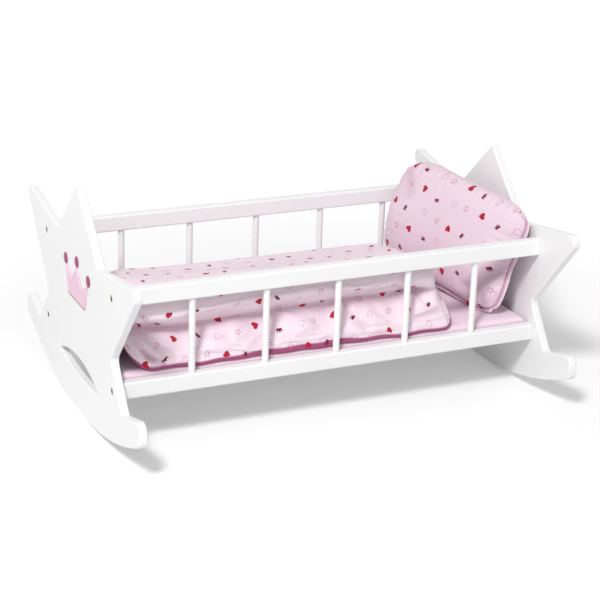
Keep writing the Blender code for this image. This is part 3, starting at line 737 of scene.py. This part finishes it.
# Painted shade: a dark pink that stands in for the shade in folds, creases, seams and under the quilt's hem.
COTTON_PINK_PAINTED_SHADE = (0.36, 0.08, 0.19, 1.0)
PRINT_RED = (0.47, 0.012, 0.040, 1.0)
PRINT_MAROON = (0.20, 0.012, 0.045, 1.0)
PRINT_MAUVE = (0.42, 0.20, 0.30, 1.0)
PRINT_ROSE = (0.58, 0.13, 0.24, 1.0)


def heart_field(tree, x, y):
    """Below 1 inside a heart: x squared plus the square of tall y less the root of x's size."""
    lobe = times(tree, maths(tree, "SQRT", maths(tree, "ABSOLUTE", x)), -HEART_LOBE)
    rise = maths(tree, "MULTIPLY_ADD", maths(tree, "ADD", y, HEART_DROP), HEART_TALL, lobe)
    return maths(tree, "MULTIPLY_ADD", x, x, times(tree, rise, rise))


def star_field(tree, x, y):
    """Below 1 inside a five-pointed star: distance out from the side nearest to the point's angle."""
    sector = math.tau / STAR_POINTS
    valley = (STAR_VALLEY * math.cos(sector / 2), STAR_VALLEY * math.sin(sector / 2))
    side_angle = math.atan2(STAR_TIP - valley[0], valley[1])
    side_distance = STAR_TIP * math.cos(side_angle)
    angle = maths(tree, "ADD", maths(tree, "ARCTAN2", x, y), math.tau + sector / 2)
    folded = maths(tree, "SUBTRACT", maths(tree, "MODULO", angle, sector), sector / 2)
    slant = maths(tree, "COSINE", maths(tree, "SUBTRACT", maths(tree, "ABSOLUTE", folded), side_angle))
    radius = maths(tree, "SQRT", maths(tree, "MULTIPLY_ADD", x, x, times(tree, y, y)))
    return times(tree, times(tree, radius, slant), 1 / side_distance)


def crown_field(tree, x, y):
    """Below 1 inside a small crown: a band with straight sides under a zigzag top."""
    sides = maths(tree, "DIVIDE", maths(tree, "ABSOLUTE", x), CROWN_PRINT_HALF)
    bottom = maths(tree, "DIVIDE", y, -CROWN_PRINT_DROP)
    part = maths(tree, "FRACT", maths(tree, "DIVIDE", x, CROWN_PRINT_PERIOD))
    zigzag = maths(tree, "ABSOLUTE", maths(tree, "MULTIPLY_ADD", part, 2.0, -1.0))
    top = maths(tree, "MULTIPLY_ADD", zigzag, -CROWN_PRINT_POINT, maths(tree, "ADD", y, 1.0))
    return maths(tree, "MAXIMUM", maths(tree, "MAXIMUM", sides, bottom), top)


def small_print_group():
    """Small hearts, crowns and stars on a half-drop lattice, each turned and shifted by chance.

    A cell's column and row choose its motif: a filled heart, a filled crown, or a heart or a star
    in outline. The outline begins at a share of the motif's size, in a filled one below nothing.
    """
    tree, given, out = start_group("small scattered print", {"Vector": "Vector", "Cloth": "Color"},
                                   {"Colour": "Color"})
    parts = split(tree, given["Vector"])
    down = maths(tree, "DIVIDE", parts[1], PRINT_PITCH)
    row = maths(tree, "FLOOR", down)
    dropped = times(tree, maths(tree, "FLOORED_MODULO", row, 2.0), PRINT_DROP)
    over = maths(tree, "ADD", maths(tree, "DIVIDE", parts[0], PRINT_PITCH), dropped)
    column = maths(tree, "FLOOR", over)
    cell = place(tree, "CombineXYZ", {0: column, 1: row})
    chance = place(tree, "TexWhiteNoise", {"Vector": cell.outputs[0]}, noise_dimensions="2D")
    chances = place(tree, "SeparateColor", {0: chance.outputs["Color"]})
    cell_size = PRINT_PITCH / MOTIF_HALF_SIZE
    local = []
    for place_in_cell, chance_value in ((maths(tree, "FRACT", over), chances.outputs[0]),
                                        (maths(tree, "FRACT", down), chances.outputs[1])):
        off_middle = maths(tree, "SUBTRACT", place_in_cell, CELL_MIDDLE)
        shift = maths(tree, "SUBTRACT", chance_value, CELL_MIDDLE)
        shifted = maths(tree, "MULTIPLY_ADD", shift, MOTIF_SHIFT, off_middle)
        local.append(times(tree, shifted, cell_size))
    spot = place(tree, "CombineXYZ", {0: local[0], 1: local[1]})
    turn = times(tree, maths(tree, "SUBTRACT", chances.outputs[2], CELL_MIDDLE), MOTIF_TURN_RANGE)
    turned = place(tree, "VectorRotate", {"Vector": spot.outputs[0], "Angle": turn}, rotation_type="Z_AXIS")
    x, y = split(tree, turned.outputs[0])[:2]
    heart = heart_field(tree, x, y)
    motifs = (
        (heart, MOTIF_FILLED, PRINT_RED),
        (crown_field(tree, x, y), MOTIF_FILLED, PRINT_MAROON),
        (heart, HEART_LINE_SHARE, PRINT_MAUVE),
        (star_field(tree, x, y), STAR_LINE_SHARE, PRINT_ROSE),
    )
    kind = maths(tree, "FLOORED_MODULO", maths(tree, "MULTIPLY_ADD", row, 2.0, column), float(len(motifs)))
    colour = given["Cloth"]
    for number, (field, start, ink) in enumerate(motifs):
        inside = stepped(tree, field, 1 + MOTIF_EDGE, 1 - MOTIF_EDGE)
        outside = stepped(tree, field, start - MOTIF_EDGE, start + MOTIF_EDGE)
        chosen = maths(tree, "COMPARE", kind, float(number), MOTIF_MARGIN)
        colour = mixed(tree, times(tree, times(tree, inside, outside), chosen), colour, ink)
    tree.links.new(colour, out["Colour"])
    return tree


def folds_at(over, up, folds):
    """Depth and share of soft folds: each a bell-shaped groove along a line, fading at its ends."""
    depth = np.zeros_like(over)
    share = np.zeros_like(over)
    for fold in folds:
        start, end = np.array(fold["start"]), np.array(fold["end"])
        line = end - start
        along = ((over - start[0]) * line[0] + (up - start[1]) * line[1]) / (line @ line)
        nearest = np.clip(along, 0.0, 1.0)
        away = np.hypot(over - start[0] - nearest * line[0], up - start[1] - nearest * line[1])
        fade = np.clip(1 - np.maximum(-along, along - 1) / FOLD_FADE, 0.0, 1.0)
        groove = np.exp(-(away / fold["width"]) ** 2) * fade
        depth += fold["depth"] * groove
        share += groove
    return depth, share


def pillow_sides():
    """The pillow's sheets in its own plane, as x, y and the heights of both over the seam.

    The height is a power of the product of both parabolas, the sides draw in between rounded
    corners, the near one the more the lower it is, and its lower corner sags. Puckers run square
    to the seam as two sine waves. The front sheet is plumper towards its far side, as a bell, and
    has soft folds.
    """
    across, along = np.meshgrid(gathered(PILLOW_COLUMNS), gathered(PILLOW_ROWS))
    half_width = (PILLOW_WIDTH - PILLOW_FLANGE - PILLOW_FAR_FLANGE) / 2
    half_depth = (PILLOW_DEPTH - PILLOW_FLANGE - PILLOW_FAR_FLANGE) / 2
    corner = PILLOW_CORNER_ROUND * np.abs(across * along) ** PILLOW_CORNER_POWER
    near = across > 0
    side_draw = np.where(near, PILLOW_DRAW_IN, PILLOW_FAR_DRAW_IN) * (1 - along ** 2)
    taper = PILLOW_TAPER * near * (1 - along) / 2
    x = across * (half_width - side_draw - taper - corner) + (PILLOW_FAR_FLANGE - PILLOW_FLANGE) / 2
    end_draw = np.where(along < 0, PILLOW_DRAW_IN, PILLOW_FAR_DRAW_IN) * (1 - across ** 2)
    sag = PILLOW_CORNER_SAG * near * (across * np.minimum(along, 0.0)) ** 2
    y = along * (half_depth - end_draw - corner) - sag + (PILLOW_FLANGE - PILLOW_FAR_FLANGE) / 2
    crown = ((1 - across ** 2) * (1 - along ** 2)) ** PILLOW_CROWN_POWER
    puckers = np.zeros_like(x)
    for place_along, from_seam in ((x, half_depth - np.abs(y)), (y, half_width - np.abs(x))):
        waves = sum(np.sin(place_along * math.tau / length) for length in PILLOW_PUCKER_LENGTHS)
        puckers += waves * np.exp(-np.abs(from_seam) / PILLOW_PUCKER_REACH)
    off_rim = np.minimum(1.0, crown / RIM_FADE_SHARE)
    back = PILLOW_THICKNESS / 2 * crown + PILLOW_PUCKER_DEPTH * puckers * off_rim
    groove, share = folds_at(x, y, PILLOW_FOLDS)
    off_middle = np.hypot(x - PILLOW_PLUMP_PLACE[0], y - PILLOW_PLUMP_PLACE[1]) / PILLOW_PLUMP_REACH
    front = back + (PILLOW_PLUMP * np.exp(-off_middle ** 2) - groove) * off_rim
    return x, y, np.stack([front, back]), share


def with_flange(x, y, heights, share):
    """The sheets widened all round by a flat flange, whose outer row drops to the seam's plane.

    The flange is narrow on the far and the upper side. The fold share paints shade lightly into the folds
    and into the seams, heavily on the near and the lower side; a row of stitches runs along the flange's
    middle.
    """
    x, y = np.pad(x, FLANGE_ROWS, mode="edge"), np.pad(y, FLANGE_ROWS, mode="edge")
    x[:, :FLANGE_ROWS] -= PILLOW_FAR_FLANGE
    x[:, -FLANGE_ROWS:] += PILLOW_FLANGE
    y[:FLANGE_ROWS] -= PILLOW_FLANGE
    y[-FLANGE_ROWS:] += PILLOW_FAR_FLANGE
    each_side = ((0, 0), (1, 1), (1, 1))
    heights = np.pad(np.maximum(heights, PILLOW_FLANGE_HALF), each_side, mode="edge")
    share = share * PILLOW_FOLD_PAINTED_SHADE
    share[-1] = FAR_SEAM_PAINTED_SHADE
    share[:, 0] = FAR_SEAM_PAINTED_SHADE
    share[0] = SEAM_PAINTED_SHADE
    share[:, -1] = SEAM_PAINTED_SHADE
    half = PILLOW_FLANGE / 2
    off_stitches = np.pad(np.full_like(share, half), FLANGE_ROWS, constant_values=-half)
    return x, y, np.pad(heights, each_side), np.pad(share, FLANGE_ROWS), off_stitches


def pillow_attitude():
    """Turn from the pillow's own plane to its place: stood upright, rolled, leaned back and turned."""
    upright = Matrix.Rotation(-math.pi / 2, 3, "Z") @ Matrix.Rotation(math.pi / 2, 3, "X")
    roll = Matrix.Rotation(math.radians(PILLOW_ROLL_DEGREES), 3, "X")
    lean = Matrix.Rotation(math.radians(PILLOW_LEAN_DEGREES), 3, "Y")
    turn = Matrix.Rotation(math.radians(PILLOW_TURN_DEGREES), 3, "Z")
    return np.array(turn @ lean @ roll @ upright)


def settle(piece, pressure, spare, reach, held_height):
    """Fill a sewn piece with air and let its cloth, cut larger by a spare share, find its wrinkles.

    A few steps of cloth simulation without weight, with the stiffness of cotton. No point moves
    further than the reach, which falls to nothing over the held height at the piece's bottom.
    The merge distance keeps a point that stays still from being divided by nothing.
    """
    mesh = piece.data
    start = np.empty(len(mesh.vertices) * 3)
    mesh.vertices.foreach_get("co", start)
    start = start.reshape(-1, 3)
    cloth = piece.modifiers.new("cloth", "CLOTH")
    cloth.settings.use_pressure = True
    cloth.settings.uniform_pressure_force = pressure
    cloth.settings.shrink_min = -spare
    cloth.settings.effector_weights.gravity = 0.0
    cloth.collision_settings.use_collision = False
    cloth.point_cache.frame_end = CLOTH_FRAMES
    for number in range(1, CLOTH_FRAMES + 1):
        bpy.context.scene.frame_set(number)
    settled = piece.evaluated_get(bpy.context.evaluated_depsgraph_get()).data
    moved = np.empty(start.size)
    settled.vertices.foreach_get("co", moved)
    piece.modifiers.remove(cloth)
    step = moved.reshape(-1, 3) - start
    length = np.linalg.norm(step, axis=1, keepdims=True) + MERGE_DISTANCE
    free = np.clip((start[:, 2:] - start[:, 2].min()) / held_height, 0.0, 1.0)
    step *= free * reach * np.tanh(length / reach) / length
    mesh.vertices.foreach_set("co", (start + step).ravel())
    mesh.update()
    bpy.context.scene.frame_set(1)


def soften(piece):
    """One round of subdivision, the last step on every soft piece."""
    skin = piece.modifiers.new("soften", "SUBSURF")
    skin.levels = 1
    skin.render_levels = 1


print_group = small_print_group()
pillow_cotton = cotton("pillow_cotton", PILLOW_PINK_PAINTED_SHADE, COTTON_PINK_PAINTED_SHADE, print_group)
pillow_x, pillow_y, pillow_heights, pillow_painted_shade, pillow_stitch = with_flange(*pillow_sides())
pillow_faces = []
for facing, pillow_height in zip((1, -1), pillow_heights):
    own_place = np.stack([pillow_x, pillow_y, facing * pillow_height], axis=-1)
    pillow_faces.append(own_place @ pillow_attitude().T)
pillow_low, pillow_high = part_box("pillow")
both_faces = np.stack(pillow_faces).reshape(-1, 3)
reached_low, reached_high = both_faces.min(axis=0), both_faces.max(axis=0)
pillow_shift = np.array([
    pillow_high.x - reached_high[0],
    (pillow_low.y + pillow_high.y - reached_low[1] - reached_high[1]) / 2,
    pillow_low.z - reached_low[2],
])
# The fold share paints shade into the pillow's folds and seams.
pillow = two_sided("pillow_cushion", pillow_faces[0] + pillow_shift, pillow_faces[1] + pillow_shift,
                   np.stack([pillow_x, pillow_y], axis=-1), pillow_cotton,
                   fold=pillow_painted_shade, stitch=pillow_stitch)
settle(pillow, PILLOW_PRESSURE, PILLOW_SPARE, PILLOW_REACH, PILLOW_HELD_HEIGHT)
soften(pillow)
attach(pillow, "pillow")
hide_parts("pillow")

# Quilt
# A padded quilt of the same printed cotton, folded so that two layers show at the front.
# The lower layer swells between the dowels and ends in a stitched hem above the mattress.

QUILT_FOOT = -0.236
QUILT_FRONT = -0.105
QUILT_WIDTH = 0.207
QUILT_HEIGHT = 0.0765
LAYER_HEIGHT = 0.0370
CREASE_RISE = 0.009
CREASE_DEPTH = 0.026
CREASE_END_SHARE = 0.3
CREASE_END_FADE = 0.09
PINCH_DEPTH = 0.014
PINCH_DROP_SHARE = 0.32
PINCH_POWER = 1.6
DOWEL_SPACING = 0.0819
END_LEAN = 0.036
END_LEAN_POWER = 3
FOOT_END_LENGTH = 0.036
HEAD_END_LENGTH = 0.022
HEAD_SHORTFALL = 0.003
END_POWER = 2.2
END_WIDTH_SHARE = 0.35
END_LEVEL_SHARE = 0.66
FOOT_PLUMP = 0.007
FOOT_PLUMP_REACH = 0.20
LOWER_HEIGHT_SHARES = (-0.07, -0.11, 0.05, 0.30, 0.62, 0.84, 0.97)
LOWER_PINCH_SHARES = (0.0, 0.0, 0.05, 0.40, 0.85, 1.0, 1.0)
LOWER_INSET_SHARES = (0.12, 0.0, 0.0, 0.0, 0.04, 0.42, 1.0)
UPPER_HEIGHT_SHARES = (0.05, 0.24, 0.52, 0.80)
UPPER_INSET_SHARES = (0.82, 0.30, 0.03, 0.0)
TOP_WIDTH_SHARES = (0.05, 0.12, 0.36, 0.62, 0.86, 1.0, 0.94, 0.5, 0.10)
TOP_HEIGHT_SHARES = (0.96, 1.0, 0.98, 0.77, 0.46, 0.25, 0.0, 0.0, 0.0)
GATHER_SHARE = 0.45
QUILT_STATIONS = 158
QUILT_ROUND = 156
QUILT_FOLDS = (
    {"start": (-0.226, 0.030), "end": (-0.200, 0.006), "width": 0.0050, "depth": 0.0045},
    {"start": (-0.204, 0.030), "end": (-0.178, 0.008), "width": 0.0050, "depth": 0.0050},
    {"start": (-0.212, 0.014), "end": (-0.190, 0.002), "width": 0.0035, "depth": 0.0025},
    {"start": (-0.150, 0.028), "end": (-0.118, 0.024), "width": 0.0050, "depth": 0.0022},
    {"start": (-0.064, 0.026), "end": (-0.086, 0.008), "width": 0.0050, "depth": 0.0022},
    {"start": (0.018, 0.034), "end": (0.040, 0.012), "width": 0.0055, "depth": 0.0022},
    {"start": (0.104, 0.012), "end": (0.136, 0.018), "width": 0.0045, "depth": 0.0020},
)
FRONT_FADE = 0.020
# Painted shade: the darker pink in the quilt's folds, along its crease and round its lower edge and
# underside.
QUILT_FOLD_PAINTED_SHADE = 0.18
CREASE_PAINTED_SHADE = 0.28
CREASE_SHADE_START = 0.004
CREASE_SHADE_END = 0.016
UNDER_SHADE_LEVEL = 0.0012
UNDER_SHADE_FADE = 0.0016
UNDER_SHADE_SWELL = 0.0034
UNDER_SHADE_SWELL_PLACE = 0.50
UNDER_SHADE_SWELL_REACH = 0.21
HEM_WAVE = 0.0007
HEM_WAVE_LENGTHS = (0.113, 0.047)
HEM_STITCH_RISE = 0.0075
QUILT_PINK = (0.94, 0.785, 0.86, 1.0)
QUILT_PRESSURE = 1.5
QUILT_SPARE = 0.03
QUILT_REACH = 0.0028
QUILT_HELD_HEIGHT = 0.012


def spline_shares(count, controls):
    """Share of each control point at even steps round a closed uniform cubic B-spline."""
    steps = np.arange(count) * controls / count
    first = np.floor(steps).astype(int)
    part = (steps - first)[:, None]
    cubic = [(1 - part) ** 3, 3 * part ** 3 - 6 * part ** 2 + 4,
             1 + 3 * part + 3 * part ** 2 - 3 * part ** 3, part ** 3]
    shares = np.zeros((count, controls))
    columns = (first[:, None] + np.arange(-1, 3)) % controls
    np.put_along_axis(shares, columns, np.hstack(cubic) / 6, axis=1)
    return shares


def quilt_cage(x, share):
    """Control points (y, z) of the quilt's section at each station, from the mattress up.

    The lower layer's front draws in at each dowel as a power of a cosine of the place along the
    bed, and its shoulder sinks there too. The crease between the layers climbs towards the head
    and fades at its end, and the top's back is plumper near the foot, as a bell.
    """
    near_dowel = ((1 + np.cos(math.tau * x / DOWEL_SPACING)) / 2) ** PINCH_POWER
    crease = LAYER_HEIGHT + CREASE_RISE * share
    depth = CREASE_DEPTH * np.clip((1 - share) / CREASE_END_FADE, CREASE_END_SHARE, 1.0)
    sections = []
    for height, drawn, inset in zip(LOWER_HEIGHT_SHARES, LOWER_PINCH_SHARES, LOWER_INSET_SHARES):
        face = PINCH_DEPTH * near_dowel * drawn
        sunk = PINCH_DROP_SHARE * near_dowel * drawn * (1 - inset)
        sections.append((face + (depth - face) * inset, crease * (height - sunk)))
    for height, inset in zip(UPPER_HEIGHT_SHARES, UPPER_INSET_SHARES):
        sections.append((depth * inset, crease + (QUILT_HEIGHT - crease) * height))
    plump = FOOT_PLUMP * np.exp(-(share / FOOT_PLUMP_REACH) ** 2)
    for across, height in zip(TOP_WIDTH_SHARES, TOP_HEIGHT_SHARES):
        raised = plump * math.sin(math.pi * across) * (height > 0)
        sections.append((QUILT_WIDTH * across + 0 * x, QUILT_HEIGHT * height + raised))
    cage = np.array(sections).transpose(2, 0, 1)
    cage[..., 0] += QUILT_FRONT
    return cage


def quilt_skin(length, rest_level):
    """Quilt as a smooth section carried along the bed, drawn to a point at both ends.

    The section shrinks at the ends as a superellipse and leans towards the foot, the more the
    nearer it is to the head. Its hem waves a little up and down, and soft folds run over the
    front of the lower layer. Shade is painted as a deeper colour into the crease, the folds and
    round the quilt's lower edge and underside, higher up in the middle of the bed, as a bell.
    """
    even = np.linspace(-1.0, 1.0, QUILT_STATIONS)
    share = (gathered(QUILT_STATIONS) * GATHER_SHARE + even * (1 - GATHER_SHARE) + 1) / 2
    cage = quilt_cage(QUILT_FOOT + length * share, share)
    share = share[:, None]
    x = QUILT_FOOT + length * share
    section = spline_shares(QUILT_ROUND, cage.shape[1]) @ cage
    near_end = np.clip(1 - np.minimum(share * length / FOOT_END_LENGTH,
                                      (1 - share) * length / HEAD_END_LENGTH), 0.0, 1.0)
    size = (1 - near_end ** END_POWER) ** (1 / END_POWER)
    spread = np.where(size == 0, 0.0, END_WIDTH_SHARE + (1 - END_WIDTH_SHARE) * size)
    across = section[..., 0]
    rise = section[..., 1]
    middle = across.mean(axis=1, keepdims=True)
    level = QUILT_HEIGHT * END_LEVEL_SHARE
    on_front = np.clip(1 - (across - QUILT_FRONT) / FRONT_FADE, 0.0, 1.0)
    wide_x = x + 0 * rise
    waves = sum(np.sin(math.tau * wide_x / wave) for wave in HEM_WAVE_LENGTHS)
    low_down = np.clip(1 - rise / LAYER_HEIGHT, 0.0, 1.0)
    lifted = rise + HEM_WAVE * (waves + len(HEM_WAVE_LENGTHS)) * on_front * low_down * size
    groove, groove_share = folds_at(wide_x, rise, QUILT_FOLDS)
    y = middle + (across - middle) * spread + groove * on_front
    z = level + (lifted - level) * size
    lean = END_LEAN * share ** END_LEAN_POWER * z / QUILT_HEIGHT
    crease = LAYER_HEIGHT + CREASE_RISE * share
    # Painted shade along the crease, in the folds, and in a band round the lower edge for the shade gap
    # under the hem.
    inside = np.clip((across - QUILT_FRONT - CREASE_SHADE_START) / CREASE_SHADE_END, 0.0, 1.0)
    by_crease = np.exp(-((rise - crease) / CREASE_SHADE_END) ** 2) * (across < QUILT_FRONT + CREASE_DEPTH)
    swell = np.exp(-((share - UNDER_SHADE_SWELL_PLACE) / UNDER_SHADE_SWELL_REACH) ** 2)
    under_shade_level = UNDER_SHADE_LEVEL * (1 - share) + UNDER_SHADE_SWELL * swell
    under = np.clip((under_shade_level - rise) / UNDER_SHADE_FADE, 0.0, 1.0)
    shade_in_folds = CREASE_PAINTED_SHADE * inside * by_crease + QUILT_FOLD_PAINTED_SHADE * groove_share * on_front
    fold = np.clip(shade_in_folds + under, 0.0, 1.0)
    stitch = np.where(on_front > 0, rise - HEM_STITCH_RISE, NO_STITCHES)
    return np.stack([x - lean, y, z + rest_level], axis=-1), fold, stitch


def travelled(points):
    """Distance along each column from the middle row, and round each row, of a wrapped grid."""
    closed = np.concatenate([points, points[:, :1]], axis=1)
    steps = np.linalg.norm(np.diff(closed, axis=1), axis=-1)
    round_row = np.hstack([np.zeros((len(points), 1)), np.cumsum(steps, axis=1)])
    strides = np.linalg.norm(np.diff(closed, axis=0), axis=-1)
    along = np.vstack([np.zeros((1, closed.shape[1])), np.cumsum(strides, axis=0)])
    return np.stack([along - along[len(points) // 2], round_row], axis=-1)


quilt_cotton = cotton("quilt_cotton", QUILT_PINK, COTTON_PINK_PAINTED_SHADE, print_group)
quilt_low, quilt_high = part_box("quilt")
quilt_length = quilt_high.x - quilt_low.x - HEAD_SHORTFALL
quilt_points, quilt_painted_shade, quilt_stitch = quilt_skin(quilt_length, quilt_low.z)
# The fold share paints shade into the quilt's crease, folds and lower edge.
quilt = make_piece("quilt_cover", quilt_points, wrapped_faces(quilt_points),
                   corners_of(travelled(quilt_points)), quilt_cotton,
                   fold=quilt_painted_shade, stitch=quilt_stitch)
settle(quilt, QUILT_PRESSURE, QUILT_SPARE, QUILT_REACH, QUILT_HELD_HEIGHT)
soften(quilt)
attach(quilt, "quilt")
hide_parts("quilt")

# Studio
# The cradle stands on a plain white floor that runs out of the picture, under a white sky.
# One soft lamp lights it from high up at the front left, and the sky fills the shade.

FLOOR_HALF = 6.0
FLOOR_COLOUR = (0.86, 0.86, 0.86, 1.0)
FLOOR_GLOW = 0.16
FLOOR_FAR_GLOW = 0.50
FLOOR_GLOW_NEAR = 0.25
FLOOR_GLOW_FAR = 1.1
SKY_WHITE = (1.0, 1.0, 1.0, 1.0)
SKY_LIGHT = (1.0, 0.99, 1.0, 1.0)
SKY_STRENGTH = 0.48
LAMP_PLACE = (-1.7, -1.95, 2.75)
LAMP_SIZE = 0.6
LAMP_POWER = 92.0
LAMP_TARGET = (0.0, 0.0, 0.12)
CAMERA_PLACE = (-0.74936, -1.63154, 0.78946)
CAMERA_TURN_DEGREES = (68.9134, -1.9104, -24.1611)
CAMERA_LENS = 103.54


def seen_directly(tree):
    """1 for rays from the camera, mirror rays and rays through glass, else 0."""
    path = place(tree, "LightPath")
    seen = maths(tree, "MAXIMUM", path.outputs["Is Camera Ray"], path.outputs["Is Glossy Ray"])
    return maths(tree, "MAXIMUM", seen, path.outputs["Is Transmission Ray"])


def make_floor():
    """Large square at the height of the rockers' lowest line, whiter where it is far from the cradle."""
    half = FLOOR_HALF
    mesh = bpy.data.meshes.new("floor")
    mesh.from_pydata([(-half, -half, 0), (half, -half, 0), (half, half, 0), (-half, half, 0)],
                     [], [(0, 1, 2, 3)])
    material, tree, shader = start_material("white_floor")
    shader.inputs["Base Color"].default_value = FLOOR_COLOUR
    shader.inputs["Roughness"].default_value = 1.0
    shader.inputs["Specular IOR Level"].default_value = 0.0
    spot = place(tree, "TexCoord").outputs["Object"]
    away = place(tree, "VectorMath", {0: spot}, operation="LENGTH").outputs["Value"]
    faded = stepped(tree, away, FLOOR_GLOW_NEAR, FLOOR_GLOW_FAR, FLOOR_GLOW, FLOOR_FAR_GLOW)
    glow = times(tree, seen_directly(tree), faded)
    tree.links.new(glow, shader.inputs["Emission Strength"])
    mesh.materials.append(material)
    return add_object("floor", mesh)


def make_sky():
    """White where it is seen directly, and a soft even light where it lights the cradle."""
    world = bpy.data.worlds.new("sky")
    bpy.context.scene.world = world
    world.use_nodes = True
    tree = world.node_tree
    tree.nodes.clear()
    light = place(tree, "Background", {"Color": SKY_LIGHT, "Strength": SKY_STRENGTH})
    seen = place(tree, "Background", {"Color": SKY_WHITE, "Strength": 1.0})
    both = place(tree, "MixShader", {0: seen_directly(tree), 1: light.outputs[0], 2: seen.outputs[0]})
    place(tree, "OutputWorld", {"Surface": both.outputs[0]})


def make_lamp():
    """Square soft lamp that faces the middle of the cradle."""
    lamp = bpy.data.lights.new("lamp", "AREA")
    lamp.size = LAMP_SIZE
    lamp.energy = LAMP_POWER
    holder = add_object("lamp", lamp)
    holder.location = LAMP_PLACE
    aim = Vector(LAMP_TARGET) - Vector(LAMP_PLACE)
    holder.rotation_euler = aim.to_track_quat("-Z", "Y").to_euler()


def make_camera():
    """Camera at the height and side from which the cradle is seen, with a long lens."""
    lens = bpy.data.cameras.new("camera")
    lens.lens = CAMERA_LENS
    camera = add_object("camera", lens)
    camera.location = CAMERA_PLACE
    camera.rotation_euler = [math.radians(angle) for angle in CAMERA_TURN_DEGREES]
    bpy.context.scene.camera = camera


make_floor()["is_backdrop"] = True
make_sky()
make_lamp()
make_camera()
bpy.context.scene.view_settings.view_transform = "Standard"

low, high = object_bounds()
